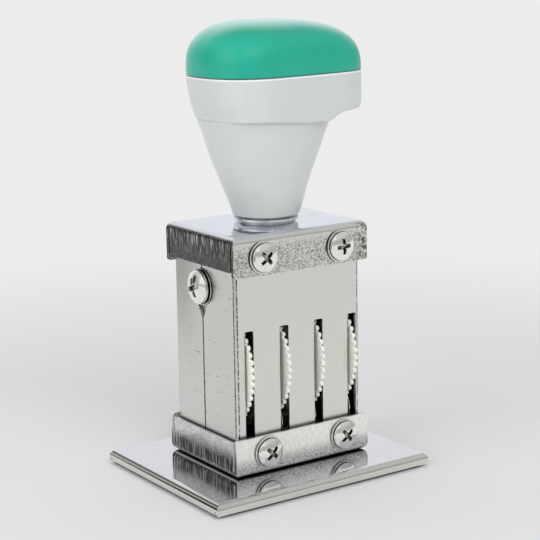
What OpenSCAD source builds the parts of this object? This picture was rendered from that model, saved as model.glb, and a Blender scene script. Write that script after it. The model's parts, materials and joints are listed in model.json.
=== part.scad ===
// Hand date stamp: a moulded handle on a folded sheet-metal box that holds four
// toothed setting wheels and their number bands, standing on a wide print plate.
// Millimetres. The origin is the middle of the printing face, +Z goes up to the
// handle, and -Y is the front with the wheel slots.

/* [Print base] */
// Width of the base plate
plate_w = 71.6; // [64:0.2:90]
// Depth of the base plate
plate_d = 57.9; // [50:0.2:80]
// Height of the base plate's folded edge
plate_edge_h = 3.2; // [2.6:0.1:3.6]
// Thickness of the foam sheet under the plate
cushion_t = 1.45; // [1.45:0.05:2.5]
// Thickness of the rubber die sheet
die_t = 0.9; // [0.6:0.1:1.5]
// Height of everything that prints
relief_h = 0.8; // [0.5:0.1:1]
// Width of the raised frame lines of the die
frame_line_w = 1.2; // [0.6:0.1:2]
// Space between the plate's folded edge and the rubber
die_play = 0.25; // [0.1:0.05:0.6]
// How far the box stands to the right of the plate's middle
box_x = 1.7; // [-3:0.1:3]
// How far the box stands behind the plate's middle
box_y = 1.4; // [-3:0.1:3]

/* [Sheet metal] */
// Thickness of the two pans and the base plate
pan_t = 0.9; // [0.7:0.05:1.1]
// Outer bend radius of the pans and the base plate
pan_bend = 2; // [1.25:0.05:2.2]
// Width of the open slit at each folded corner
corner_slit = 0.65; // [0.2:0.05:0.8]
// Corner radius of the front and rear flanges
flange_corner = 0.8; // [0.3:0.1:1.2]
// Width of the top pan
top_pan_w = 44.8; // [44.2:0.1:50]
// Depth of the top pan and the bottom pan
pan_d = 34.2; // [33.6:0.1:36]
// Height of the top pan
top_pan_h = 11.1; // [10.6:0.1:13]
// How much shorter the top pan's side flanges are
top_side_short = 1.5; // [0.8:0.1:2.4]
// Width of the bottom pan
bottom_pan_w = 45.0; // [44.2:0.1:50]
// Height of the bottom pan
bottom_pan_h = 10.9; // [10.6:0.1:11.2]
// How much shorter the bottom pan's side flanges are
bottom_side_short = 0.8; // [0.4:0.1:1.6]

/* [Case] */
// Width of the case
case_w = 42; // [41.4:0.1:42.2]
// Depth of the case
case_d = 30.5; // [29.8:0.1:30.6]
// Sheet thickness of the case
case_t = 0.9; // [0.7:0.05:1]
// Outer bend radius of the case
case_bend = 1.1; // [1.1:0.05:2]
// Height from the base plate's top to the top pan's top
box_h = 66.8; // [66:0.2:80]
// Gap of the seam between the two case halves
seam_gap = 0.4; // [0.1:0.05:0.6]
// How far the seam stands behind the box's middle
seam_back = 0.9; // [0:0.1:1.5]
// Play between parts that are slid together
play = 0.05; // [0.03:0.01:0.08]

/* [Wheel slots] */
// Distance from one wheel to the next
wheel_pitch = 11.6; // [11.5:0.05:11.7]
// How far the row of wheels stands to the right of the box's middle
row_shift = 0.8; // [0.5:0.05:0.85]
// Width of a slot
slot_w = 2.75; // [2.4:0.05:2.8]
// Height of the slots' top above the base plate's top
slot_top = 40.35; // [38:0.25:46]
// Height of the slots' bottom above the base plate's top
slot_bottom = 10; // [9.8:0.1:12]
// Corner radius of a slot
slot_corner = 0.5; // [0.2:0.1:1]

/* [Setting wheels] */
// Tip radius of a wheel
wheel_r = 17.6; // [16.6:0.1:17.9]
// Thickness of a wheel's toothed rim
wheel_t = 1; // [0.8:0.05:1.3]
// Number of teeth on a wheel
wheel_teeth = 52; // [44:4:56]
// Height of a tooth
tooth_h = 1.6; // [1.2:0.1:1.8]
// Radius of a tooth's rounded tip
tooth_r = 0.62; // [0.5:0.02:0.7]
// How far the wheels stand to the left of their slots' middles
wheel_left = -0.1; // [-0.2:0.05:0.2]
// Radius of a wheel's drum
drum_r = 7; // [6:0.1:7.5]
// Width of a wheel's drum
drum_w = 4.5; // [4:0.05:4.5]
// Radius of the axle
axle_r = 2; // [1.5:0.1:2.5]
// Height of the axle above the base plate's top
axle_h = 27.9; // [27.6:0.05:28.2]
// How far the axle stands in front of the box's middle
axle_front = 0; // [-0.2:0.05:0.2]
// Running clearance between a wheel and the axle
axle_clearance = 0.05; // [0.03:0.01:0.08]

/* [Number bands] */
// Width of a band
band_w = 4.1; // [3.4:0.1:4.1]
// Thickness of a band without its numbers
band_t = 1.2; // [0.8:0.1:1.4]
// Space between a band and its drum
band_lift = 0.3; // [0.25:0.05:0.35]
// Height of a number
digit_h = 4.2; // [3:0.1:4.4]
// Width of a number
digit_w = 2.7; // [2:0.1:3]
// Line width of a number
digit_line = 0.6; // [0.4:0.05:0.7]
// Thickness of the print bar
bar_t = 7; // [6:0.1:7.4]
// Edge radius of the print bar's nose
bar_nose = 1.4; // [1:0.1:1.8]
// Space around the bands in the window
window_play = 0.5; // [0.3:0.05:0.8]

/* [Handle] */
// Reach of the handle's rim to the left of the box's middle
rim_left = 21; // [18:0.1:24]
// Reach of the handle's nose to the right of the box's middle
rim_right = 28; // [25:0.1:31]
// Half of the rim's depth
rim_half_d = 15.6; // [14:0.1:17]
// Radius of the handle's foot
foot_r = 9.4; // [9:0.1:11]
// Height of the handle from its foot to the crease under its rim
neck_h = 27.15; // [24:0.05:32]
// Height of the rim at the crease
rim_h = 11.7; // [11:0.1:16]
// Height of the cap
cap_h = 14.75; // [12:0.05:18]
// Wall of the handle and the cap
grip_wall = 2.2; // [1.6:0.1:3]
// Depth of the recess under the crease
crease_step = 0.7; // [0.4:0.1:1.2]
// How far the crease dips before the nose
crease_dip = 1.2; // [0.6:0.1:2]
// How far the crease rises again along the nose
nose_rise = 2.4; // [1.6:0.1:4]
// Radius of the polished collar at its rim
collar_r = 9.1; // [8.4:0.1:9.3]
// Height of the polished collar
collar_h = 1.6; // [1.2:0.1:2.4]
// Height of the collar's narrow neck, which leaves the dark gap
collar_neck_h = 0.55; // [0.3:0.05:0.8]

/* [Screws] */
// Distance between the left and right case screws
screw_span = 25.7; // [24:0.1:26]
// Depth of the top screws below the top pan's top
top_screw_drop = 6.1; // [5.8:0.1:6.4]
// Height of the bottom screws above the base plate's top
bottom_screw_h = 6.15; // [6:0.05:6.4]
// Shank radius of the case screws
screw_r = 2; // [1.8:0.1:2]
// Head radius of the case screws
head_r = 4; // [3.6:0.1:4.2]
// Height of a case screw head's dome over its rim
head_dome = 1.7; // [1.2:0.1:2]
// Radius of the case screws' washers
washer_r = 4.5; // [4.2:0.1:4.6]
// Depth of the side screws below the top pan's lower edge
side_screw_drop = 5; // [5:0.1:6.2]
// Shank radius of the side screws
side_screw_r = 2.5; // [2:0.1:2.6]
// Head radius of the side screws
side_head_r = 4.75; // [4.2:0.05:4.9]
// Height of a side screw head's dome over its rim
side_head_dome = 1.6; // [1.4:0.1:2.4]
// Radius of the side screws' flat washers
side_washer_r = 5.2; // [4.6:0.1:5.4]
// Rim height of a screw head
head_rim = 0.9; // [0.6:0.1:1.2]
// Thickness of a case screw's washer
washer_t = 0.7; // [0.5:0.1:1]
// Thickness of a side screw's flat washer
side_washer_t = 0.5; // [0.3:0.1:1]
// Thickness of a split washer
lock_washer_t = 0.4; // [0.3:0.1:1.3]
// Distance between the left and right screws in the base
base_screw_span = 18; // [17:0.5:19]

/* [Hidden] */
$fn = 64;

// How far joined solids reach into each other, how far a cut starts outside what it cuts,
// and the length of a cut that goes right through
eps = 0.01;
over = 1;
through = 300;

// Heights of the stack, from the printing face upwards
die_z = relief_h;
cushion_z = die_z + die_t;
plate_low = cushion_z + cushion_t;
plate_top = plate_low + pan_t;
floor_z = plate_top + pan_t;
box_top = plate_top + box_h;
bridge_side = (pan_d - case_d) / 2 - pan_t;
bridge_t = bridge_side - 2 * play;
bridge_top = box_top - pan_t;
bridge_low = bridge_top - bridge_t;
bridge_w = 36;
bridge_short = 0.3;
bridge_bend_in = 0.3;
bend_in = pan_bend - pan_t;
bridge_bend = max(bridge_t + bridge_bend_in, bend_in);
case_top_gap = 0.4;
case_top = bridge_low - case_top_gap;
case_in_w = case_w - 2 * case_t;
case_in_d = case_d - 2 * case_t;

// The case stands clear of the bottom pan's bends, by how far its faces reach over them
reach_x = max(0, case_w / 2 + bend_in + pan_t - bottom_pan_w / 2);
reach_y = max(0, case_d / 2 + bend_in + pan_t - pan_d / 2);
bend_rise = bend_in - sqrt(pow(bend_in, 2) - pow(max(reach_x, reach_y), 2));
case_low = floor_z + bend_rise + play;
slot_mid = plate_top + (slot_top + slot_bottom) / 2;
sheet_corner = 1.2;
slit_step = 0.1;
foam_window_gap = 0.3;
die_window_gap = 0.5;

// Case screws and their nuts
hole_play = 0.2;
tap_play = 0.03;
screw_hole = screw_r + hole_play;
top_screw_z = box_top - top_screw_drop;
bottom_screw_z = plate_top + bottom_screw_h;
case_screw_length = 7.6;
case_nut_af = 7;
case_nut_t = 3.2;
spacer_in = 1;
top_recess_turn = 35;
bottom_recess_turn = 55;

// Side screws, their keyholes and the tie bar
side_screw_z = box_top - top_pan_h - side_screw_drop;
side_screw_length = 10;
side_recess_turn = 20;
side_hole = side_screw_r + hole_play;
lock_washer_r = 4.2;
lock_washer_split = 0.5;
lock_washer_slant = 20;
keyhole_depth = 8.6;
keyhole_wide_at = 4.2;
keyhole_wide_w = 5.4;
keyhole_low_w = 0.7;
tie_gap = 0.3;
tie_r = min(4.5, side_screw_z - plate_top - axle_h - wheel_r - tie_gap);

// Nut bars and the base screws that they take
nut_bar_t = 4;
nut_bar_wall = 1.4;
nut_bar_top = bottom_screw_z + screw_r + nut_bar_wall;
base_screw_r = 1.5;
base_hole_play = 0.15;
base_hole_r = base_screw_r + base_hole_play;
base_head_r = 2.7;
base_head_t = 1.35;
base_recess_span = 3;
base_recess_w = 0.7;
base_screw_gap = 0.5;
base_screw_top = bottom_screw_z - screw_r - base_screw_gap;
base_screw_y = case_in_d / 2 - nut_bar_t / 2;

// Cross recess of a case screw, as the wings' span and depth at the rim and at the core
recess_span = 4.4;
recess_core = 2.6;
recess_w = 0.95;
recess_rim_depth = 1.1;
recess_depth = 1.8;

// Wheels: the first and third drum point right, the others left
axle_y = -axle_front;
axle_z = plate_top + axle_h;
bore_r = axle_r + axle_clearance;
tooth_ring = wheel_r - tooth_r;
tooth_step = 360 / wheel_teeth;
tooth_root = wheel_r - tooth_h;
tooth_sink = 0.1;
tooth_foot = (tooth_root - tooth_sink) * tan(tooth_step / 2) - eps;
tooth_top = tooth_r - 2 * eps;
drum_side = [1, -1, 1, -1];
wheel_drift = [-0.35, 0.35, 0.2, -0.15];
function slot_x(i) = row_shift + (i - 1.5) * wheel_pitch;
function wheel_x(i) = slot_x(i) - wheel_left + wheel_drift[i];
function drum_x(i) = wheel_x(i) + drum_side[i] * (wheel_t + drum_w) / 2;
end_play = 0.1;
thin_sleeve = 1.5;
thick_sleeve = 2.5;

// Cheeks, print bar and window
cheek_t = 0.75;
cheek_half_d = 9;
cheek_lug = 2.5;
cheek_out = case_in_w / 2 - play;
cheek_in = cheek_out - cheek_t;
bar_bottom = relief_h + band_t + play;
bar_step_gap = 0.3;
bar_step_z = floor_z + bar_step_gap;
bar_h = 9;
bar_top = floor_z + bar_h;
bar_end_gap = 0.4;
tenon_w = 4;
tenon_h = 4;
tenon_rise = 2;
tenon_low = floor_z + tenon_rise;
tenon_high = tenon_low + tenon_h;
row_mid = (drum_x(0) + drum_x(3)) / 2;
window_w = drum_x(3) - drum_x(0) + band_w + 2 * window_play;
window_d = bar_t + 2 * (play + band_t + relief_h + window_play);
window_corner = 1;
bar_foot_w = window_w - 2 * bar_end_gap;

// Band loop: a round top over the drum, two rounded corners at the print bar
loop_top_r = drum_r + band_lift;
loop_nose_r = bar_nose + play;
loop_half = bar_t / 2 - bar_nose;
loop_nose_z = bar_bottom + bar_nose;
loop_join = 0.02;

// Tilt of the loop's straight sides, as the tangent of both circles
loop_rise = axle_z - loop_nose_z;
loop_span = sqrt(loop_half * loop_half + loop_rise * loop_rise);
loop_tilt = asin((loop_top_r - loop_nose_r) / loop_span) - atan2(loop_half, loop_rise);
printed = [1, 2, 0, 5];
segments = [
  [1, 1, 1, 1, 1, 1, 0], [0, 1, 1, 0, 0, 0, 0], [1, 1, 0, 1, 1, 0, 1], [1, 1, 1, 1, 0, 0, 1],
  [0, 1, 1, 0, 0, 1, 1], [1, 0, 1, 1, 0, 1, 1], [1, 0, 1, 1, 1, 1, 1], [1, 1, 1, 0, 0, 0, 0],
  [1, 1, 1, 1, 1, 1, 1], [1, 1, 1, 1, 0, 1, 1]
];
side_digits = 3;
side_pitch = 8;
top_digit_turn = 50;

// Detent springs: a wire leg that bends over into a gap between two teeth
wire_r = 0.3;
wire_sides = 12;
wire_steps = 8;
spring_angle = 180 + (floor(45 / tooth_step) + 0.5) * tooth_step;
spring_depth = 0.15;
spring_inset = 0.9;
spring_foot_h = 1.2;
spring_leg_h = 12;
spring_leg_y = -case_in_d / 2 + spring_inset;
spring_foot_z = floor_z + spring_foot_h;
spring_bend_z = plate_top + spring_leg_h;
spring_side = [-0.3, -0.3, -0.3, 0.5];
spring_dy = axle_y + (wheel_r - spring_depth) * cos(spring_angle) - spring_leg_y;
spring_dz = axle_z + (wheel_r - spring_depth) * sin(spring_angle) - spring_bend_z;
spring_bend_r = (spring_dy * spring_dy + spring_dz * spring_dz) / (2 * spring_dy);
spring_turn = asin(spring_dz / spring_bend_r);

// Handle fastening
foot_z = box_top + collar_h + collar_neck_h;
collar_lip = 0.6;
collar_slope = 1;
collar_neck_r = 7;
stud_r = 3;
stud_hole = stud_r + hole_play;
stud_nut_t = 5;
stud_nut_af = 10;
stud_washer_r = 6;
stud_washer_t = 1.2;
stud_end = 1;
insert_r = 4.5;
insert_h = 14;
boss_r = 7;
boss_h = 18;
grip_floor = 2;

// Handle form
rim_top = foot_z + neck_h + rim_h;
rim_mid = -3;
rim_taper = 0.006;
rim_power = 2.5;
nose_power = 5;
nose_power_drop = 2.2;
ring_points = 48;
slope_extra = 0.4;
slope_wall = grip_wall + slope_extra;
foot_round = 0.5;
foot_rise = 2.2;
foot_flare = [0.5, 0.8];
dip_start = -12;
dip_length = 20;
nose_start = 12.5;
nose_ramp = 3.2;

// How far in from the rim's left end, right end and half depth its rings stand, from the crease up
crease_in = [2.7, 7.6, 0.4 + crease_step];
lip_in = [2.8, 0.7, 0.4];
edge_in = [2.7, 0.1, 0.15];
low_in = [1.5, 0, 0];
high_in = [0.7, 0, 0];
crease_drop = 0.2;
lip_h = 0.8;
low_share = 0.35;
high_share = 0.65;

// Cap form
skirt_h = 3;
skirt_gap = 0.15;
skirt_root = 0.5;
cap_edge_h = 1.7;
dome_steps = 9;
dome_end = 88.5;
dome_power = 2.75;

// Section of a channel that opens upwards, with its rounded bends at the bottom
module channel_2d(span, height, t, bend) {
  translate([-span / 2 + bend, 0]) square([span - 2 * bend, t]);
  for (side = [-1, 1]) {
    translate([side > 0 ? span / 2 - t : -span / 2, bend]) square([t, height - bend]);
    translate([side * (span / 2 - bend), bend]) intersection() {
      difference() {
        circle(bend);
        circle(bend - t);
      }
      translate([side > 0 ? 0 : -bend, -bend]) square(bend);
    }
  }
}

module rounded_2d(w, h, r) {
  square([w - 2 * r, h], center = true);
  square([w, h - 2 * r], center = true);
  for (x = [-1, 1], y = [-1, 1]) translate([x * (w / 2 - r), y * (h / 2 - r)]) circle(r, $fn = 32);
}

// Outline of a tray across one pair of flanges: bends at the bottom, corners at the top
module tray_2d(span, height, bend, corner) {
  translate([-span / 2 + bend, 0]) square([span - 2 * bend, height]);
  translate([-span / 2, bend]) square([span, height - bend - corner]);
  for (side = [-1, 1]) {
    translate([side * (span / 2 - bend), bend]) circle(bend);
    if (corner > 0) translate([side * (span / 2 - corner), height - corner]) circle(corner);
    if (corner > 0) translate([side > 0 ? span / 2 - bend : -span / 2 + corner, bend])
      square([bend - corner, height - bend]);
  }
}

// The space that a tray's outlines enclose, both ways
module tray_block(w, d, height, bend, corner) {
  intersection() {
    rotate([90, 0, 0]) linear_extrude(d, center = true) tray_2d(w, height, bend, corner);
    rotate([90, 0, 90]) linear_extrude(w, center = true) tray_2d(d, height, bend, 0);
  }
}

// A tray folded from one sheet, open upwards, with an open slit beside each corner
module tray(w, d, h, side_short) {
  slit_y = d / 2 - pan_t - slit_step - corner_slit / 2;
  difference() {
    tray_block(w, d, h, pan_bend, flange_corner);
    translate([0, 0, pan_t]) tray_block(w - 2 * pan_t, d - 2 * pan_t, h, bend_in, 0);
    for (x = [-1, 1]) {
      for (y = [-1, 1]) translate([x * w / 2, y * slit_y, h / 2 + pan_bend])
        cube([4 * pan_t, corner_slit, h], center = true);
      translate([x * w / 2, 0, 3 * h / 2 - side_short]) cube([4 * pan_t, 2 * slit_y, h], center = true);
    }
  }
}

module at_box() {
  translate([box_x, box_y, 0]) children();
}

// Holes along Y at the case screws, for the sheets that they pass through
module screw_holes(z, shift, r) {
  for (side = [-1, 1]) translate([shift + side * screw_span / 2, 0, z])
    rotate([90, 0, 0]) cylinder(r = r, h = through, center = true);
}

module base_screw_places() {
  for (x = [-1, 1], y = [-1, 1])
    translate([row_shift + x * base_screw_span / 2, y * base_screw_y, 0]) children();
}

module base_holes(r) {
  base_screw_places() cylinder(r = r, h = through, center = true);
}

module window_2d(grow, corner) {
  translate([row_mid, axle_y]) rounded_2d(window_w + 2 * grow, window_d + 2 * grow, corner);
}

module window_cut(grow) {
  linear_extrude(through, center = true) window_2d(grow, window_corner);
}

// A pan-head screw with a cross recess, its shank down -Z and its seat at z = 0
module pan_screw(length, shank, head, dome) {
  dome_r = (head * head + dome * dome) / (2 * dome);
  top = head_rim + dome;
  size = head / head_r;
  difference() {
    union() {
      translate([0, 0, -length]) cylinder(r = shank, h = length + eps);
      intersection() {
        cylinder(r = head, h = top);
        translate([0, 0, top - dome_r]) sphere(dome_r, $fn = 96);
      }
    }
    for (turn = [0, 90]) translate([0, 0, top]) rotate(turn) {
      cube([recess_span * size, recess_w * size, 2 * recess_rim_depth], center = true);
      cube([recess_core * size, recess_w * size, 2 * recess_depth], center = true);
    }
    translate([0, 0, top]) cylinder(r = recess_w * size, h = 2 * recess_depth, center = true, $fn = 32);
  }
}

module washer(r, hole, t) {
  difference() {
    cylinder(r = r, h = t);
    cylinder(r = hole, h = through, center = true);
  }
}

module hex_nut(af, hole, t) {
  difference() {
    cylinder(r = af / sqrt(3), h = t, $fn = 6);
    cylinder(r = hole, h = through, center = true);
  }
}

// The case screws' places on the two faces, with +Z pointing out of the face
module case_screw_places(z, shift, face) {
  for (side = [-1, 1]) {
    translate([shift + side * screw_span / 2, -face, z]) rotate([90, 0, 0]) children();
    translate([shift + side * screw_span / 2, face, z]) rotate([-90, 0, 0]) children();
  }
}

module left_and_right(face) {
  translate([-face, seam_back, side_screw_z]) rotate([0, -90, 0]) children();
  translate([face, seam_back, side_screw_z]) rotate([0, 90, 0]) children();
}

// The crease dips in front of the nose and rises steeply under it
function smooth(t) = let (c = max(0, min(1, t))) c * c * (3 - 2 * c);
function nose_lift(x) = x > nose_start ? nose_rise * (1 - exp(-pow((x - nose_start) / nose_ramp, 1.4))) : 0;
function crease_lift(x) = nose_lift(x) - crease_dip * smooth((x - dip_start) / dip_length);

// A ring is [z, left reach, right reach, half depth, left power, right power, share of
// the crease's lift, middle]: a superellipse whose two ends have their own reach
function taper(r, x) = 1 - rim_taper * (x - r[7]) * max(0, r[3] - foot_r) / (rim_half_d - foot_r);
function radius(r, a) =
  let (right = cos(a) > 0, reach = right ? r[2] - r[7] : r[1] + r[7], n = right ? r[5] : r[4])
  pow(pow(abs(cos(a)) / reach, n) + pow(abs(sin(a)) / r[3], n), -1 / n);
function ring(r) = [
  for (k = [0 : ring_points - 1])
    let (a = 360 * k / ring_points, d = radius(r, a), x = r[7] + d * cos(a))
    [x, d * sin(a) * taper(r, x), r[0] + r[6] * crease_lift(x)]
];
function inset(r, d) = r - [0, d, d, d, 0, 0, 0, 0];
function lifted(r, z) = r + [z, 0, 0, 0, 0, 0, 0, 0];
function rings(list, z) = [for (r = list) ring(lifted(r, z))];
function shrunk(list, d) = [for (r = list) inset(r, d)];

// The side faces of a skin that joins rings of n points, each to the next
function skin_sides(count, n) = [
  for (j = [0 : count - 2], k = [0 : n - 1])
    let (a = j * n + k, b = j * n + (k + 1) % n)
    each [[a, a + n, b + n], [a, b + n, b]]
];

// A closed skin over a stack of rings
module skin(stack) {
  n = len(stack[0]);
  last = (len(stack) - 1) * n;
  ends = [[for (k = [0 : n - 1]) k], [for (k = [n - 1 : -1 : 0]) last + k]];
  polyhedron(
    points = [for (r = stack) each r],
    faces = concat(skin_sides(len(stack), n), ends),
    convexity = 6
  );
}

// A ring of the neck, by its shares of the way from the foot to the rim
function neck_ring(up, left, right, half, nl, nr, lift, mid) = [
  up * neck_h, foot_r + left * (rim_left - foot_r), foot_r + right * (rim_right - foot_r),
  foot_r + half * (rim_half_d - foot_r), nl, nr, lift, mid
];
function round_ring(z, flare, right_flare) =
  [z, foot_r + flare, foot_r + right_flare, foot_r + flare, 2, 2, 0, 0];
foot_rings = [
  round_ring(0, -foot_round, -foot_round),
  round_ring(foot_round, 0, 0),
  round_ring(foot_rise, foot_flare[0], foot_flare[1])
];
neck_rings = [
  neck_ring(0.35, 0.29, 0.16, 0.36, 2.05, 2.1, 0, -0.4),
  neck_ring(0.655, 0.56, 0.35, 0.6, 2.15, 2.3, 0, -1.2),
  neck_ring(0.89, 0.7, 0.5, 0.74, 2.3, 2.5, 0.3, -2.2),
  rim_ring(neck_h - crease_drop, crease_in, 2.4, 2.7, 0.9)
];

// A ring of the rim, by how far in from the rim's reach it stands
function rim_ring(z, inwards, nl, nr, lift) =
  [z, rim_left - inwards[0], rim_right - inwards[1], rim_half_d - inwards[2], nl, nr, lift, rim_mid];
rim_rings = [
  rim_ring(neck_h, lip_in, rim_power - 0.05, nose_power - 0.8, 1),
  rim_ring(neck_h + lip_h, edge_in, rim_power, nose_power - 0.2, 1),
  rim_ring(neck_h + low_share * rim_h, low_in, rim_power, nose_power, 0.7),
  rim_ring(neck_h + high_share * rim_h, high_in, rim_power, nose_power, 0.35),
  rim_ring(neck_h + rim_h, [0, 0, 0], rim_power, nose_power, 0)
];

// Handle body: a thin moulded shell with a boss for its brass insert
module handle_body() {
  cavity = concat(
    rings(shrunk(neck_rings, slope_wall), foot_z + grip_floor),
    [ring(lifted(inset(rim_rings[0], slope_wall), foot_z + slope_wall))],
    rings(shrunk([rim_rings[2], rim_rings[3], rim_rings[4]], grip_wall), foot_z),
    [ring(lifted(inset(rim_rings[4], grip_wall), foot_z + over))]
  );
  color("gainsboro") at_box() difference() {
    union() {
      difference() {
        skin(rings(concat(foot_rings, neck_rings, rim_rings), foot_z));
        skin(cavity);
      }
      translate([0, 0, foot_z + grip_floor]) cylinder(r = boss_r, h = boss_h - grip_floor);
    }
    translate([0, 0, foot_z - over]) cylinder(r = insert_r + tap_play, h = insert_h + over);
  }
}

// The cap's outline on the rim, and one ring of its dome at a height angle
cap_ring = rim_ring(0, [0, 0, 0], rim_power, nose_power, 0);
function dome_ring(t, d, h) =
  let (s = pow(1 - pow(sin(t), dome_power), 1 / dome_power))
  ring([
    rim_top + cap_edge_h + h * sin(t), (rim_left - d + rim_mid) * s - rim_mid,
    (rim_right - d - rim_mid) * s + rim_mid, (rim_half_d - d) * s,
    rim_power, nose_power - nose_power_drop * sin(t), 0, rim_mid
  ]);
function dome(d, h) = concat(
  [ring(lifted(inset(cap_ring, d), rim_top))],
  [for (j = [0 : dome_steps]) dome_ring(dome_end * sin(90 * j / dome_steps), d, h)]
);

// Grip cap: a domed shell whose skirt drops inside the handle's rim
module grip_cap() {
  skirt_inset = grip_wall + skirt_gap;
  lean = (rim_rings[4] - rim_rings[3])[1] * skirt_h / ((1 - high_share) * rim_h);
  color("mediumseagreen") at_box() difference() {
    union() {
      skin(dome(0, cap_h - cap_edge_h));
      skin([
        ring(lifted(inset(cap_ring, skirt_inset + lean), rim_top - skirt_h)),
        ring(lifted(inset(cap_ring, skirt_inset), rim_top + skirt_root))
      ]);
    }
    skin(concat(
      [ring(lifted(inset(cap_ring, 2 * grip_wall), rim_top - skirt_h - over))],
      dome(2 * grip_wall, cap_h - cap_edge_h - grip_wall)
    ));
  }
}

module handle_insert() {
  color("goldenrod") at_box() translate([0, 0, foot_z + play])
    washer(insert_r, stud_r + tap_play, insert_h - play);
}

module handle_stud() {
  low = bridge_low - stud_washer_t - stud_nut_t - stud_end;
  color("silver") at_box() translate([0, 0, low])
    cylinder(r = stud_r, h = foot_z + insert_h - stud_end - low);
}

// Collar: a polished cone under a rim, and a narrow neck that leaves a dark gap under the handle
module collar() {
  neck_top = collar_h + collar_neck_h;
  color("lightsteelblue") at_box() translate([0, 0, box_top]) rotate_extrude() polygon([
    [stud_hole, 0], [collar_r - collar_slope, 0], [collar_r, collar_h - collar_lip], [collar_r, collar_h],
    [collar_neck_r, collar_h], [collar_neck_r, neck_top], [stud_hole, neck_top]
  ]);
}

module stud_washer() {
  color("darkgray") at_box() translate([0, 0, bridge_low - stud_washer_t])
    washer(stud_washer_r, stud_hole, stud_washer_t);
}

module stud_nut() {
  color("silver") at_box() translate([0, 0, bridge_low - stud_washer_t - stud_nut_t])
    hex_nut(stud_nut_af, stud_r + tap_play, stud_nut_t);
}

// Top pan: a tray upside down over the case
module top_pan() {
  color("lightgray") at_box() difference() {
    translate([0, 0, box_top]) mirror([0, 0, 1]) tray(top_pan_w, pan_d, top_pan_h, top_side_short);
    cylinder(r = stud_hole, h = through);
    screw_holes(top_screw_z, 0, screw_hole);
  }
}

// Top bridge: a folded strip that ties the handle's stud to both faces of the case
module top_bridge() {
  flange = bridge_top - (box_top - top_pan_h) - bridge_short;
  color("darkgray") at_box() difference() {
    translate([0, 0, bridge_top]) mirror([0, 0, 1]) rotate([90, 0, 90])
      linear_extrude(bridge_w, center = true)
        channel_2d(pan_d - 2 * pan_t - 2 * play, flange, bridge_t, bridge_bend);
    cylinder(r = stud_hole, h = through);
    screw_holes(top_screw_z, 0, screw_hole);
  }
}

// One half of the case: a channel that stands upright, with a slot for each wheel.
// Its two ends stand behind the box's middle by a distance.
module shell_half(back) {
  difference() {
    translate([0, -case_d / 2, case_low]) linear_extrude(case_top - case_low)
      channel_2d(case_w, case_d / 2 + back - seam_gap / 2, case_t, case_bend);
    screw_holes(top_screw_z, 0, screw_hole);
    screw_holes(bottom_screw_z, row_shift, screw_hole);
    for (i = [0 : 3])
      translate([slot_x(i), -case_d / 2, slot_mid]) rotate([90, 0, 0])
        linear_extrude(4 * case_t, center = true) rounded_2d(slot_w, slot_top - slot_bottom, slot_corner);
    translate([0, back, side_screw_z]) rotate([90, 0, 90]) linear_extrude(through, center = true) {
      circle(side_hole);
      polygon([
        [-side_hole + eps, 0], [-keyhole_wide_w / 2, -keyhole_wide_at], [-keyhole_low_w / 2, -keyhole_depth],
        [keyhole_low_w / 2, -keyhole_depth], [keyhole_wide_w / 2, -keyhole_wide_at], [side_hole - eps, 0]
      ]);
    }
  }
}

module front_shell() {
  color("lightgray") at_box() shell_half(seam_back);
}

module rear_shell() {
  color("gray") at_box() mirror([0, 1, 0]) shell_half(-seam_back);
}

module bottom_pan() {
  color("lightgray") at_box() difference() {
    translate([0, 0, plate_top]) tray(bottom_pan_w, pan_d, bottom_pan_h, bottom_side_short);
    screw_holes(bottom_screw_z, row_shift, screw_hole);
    base_holes(base_hole_r);
    window_cut(0);
  }
}

module base_plate() {
  color("silver") difference() {
    translate([0, 0, plate_top]) mirror([0, 0, 1]) tray(plate_w, plate_d, plate_edge_h, 0);
    at_box() base_holes(base_hole_r);
    at_box() window_cut(0);
  }
}

// Outline of the foam and the die, which fill the inverted base plate
module die_2d(less, corner) {
  edge = 2 * (pan_t + die_play + less);
  rounded_2d(plate_w - edge, plate_d - edge, corner);
}

// Foam sheet between the plate and the rubber, clear of the plate's bends and the screw heads
module base_cushion() {
  color("dimgray") difference() {
    translate([0, 0, cushion_z]) linear_extrude(cushion_t) die_2d(bend_in, sheet_corner);
    at_box() base_holes(base_head_r + hole_play);
    at_box() window_cut(foam_window_gap);
  }
}

// Rubber die: a sheet with a raised line round its rim and round the date window
module stamp_die() {
  color("darkslategray") difference() {
    union() {
      translate([0, 0, die_z]) linear_extrude(die_t) die_2d(0, sheet_corner);
      linear_extrude(relief_h + eps) difference() {
        die_2d(0, sheet_corner);
        die_2d(frame_line_w, sheet_corner / 2);
      }
      at_box() linear_extrude(relief_h + eps)
        window_2d(frame_line_w + die_window_gap, window_corner + die_window_gap);
    }
    at_box() window_cut(die_window_gap);
  }
}

module case_screws(z, shift, turn) {
  case_screw_places(z, shift, pan_d / 2 + washer_t)
    rotate(turn) pan_screw(case_screw_length, screw_r, head_r, head_dome);
}

module top_screws() {
  color("silver") at_box() case_screws(top_screw_z, 0, top_recess_turn);
}

module top_washers() {
  color("silver") at_box() case_screw_places(top_screw_z, 0, pan_d / 2)
    washer(washer_r, screw_hole, washer_t);
}

module top_nuts() {
  color("silver") at_box() case_screw_places(top_screw_z, 0, case_in_d / 2 - case_nut_t)
    hex_nut(case_nut_af, screw_r + tap_play, case_nut_t);
}

module bottom_screws() {
  color("silver") at_box() case_screws(bottom_screw_z, row_shift, bottom_recess_turn);
}

module bottom_washers() {
  color("silver") at_box() case_screw_places(bottom_screw_z, row_shift, pan_d / 2)
    washer(washer_r, screw_hole, washer_t);
}

// Spacer rings fill the gap between the bottom pan and the case
module bottom_spacers() {
  color("darkgray") at_box() case_screw_places(bottom_screw_z, row_shift, case_d / 2 + play)
    washer(washer_r - spacer_in, screw_hole, bridge_t);
}

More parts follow.
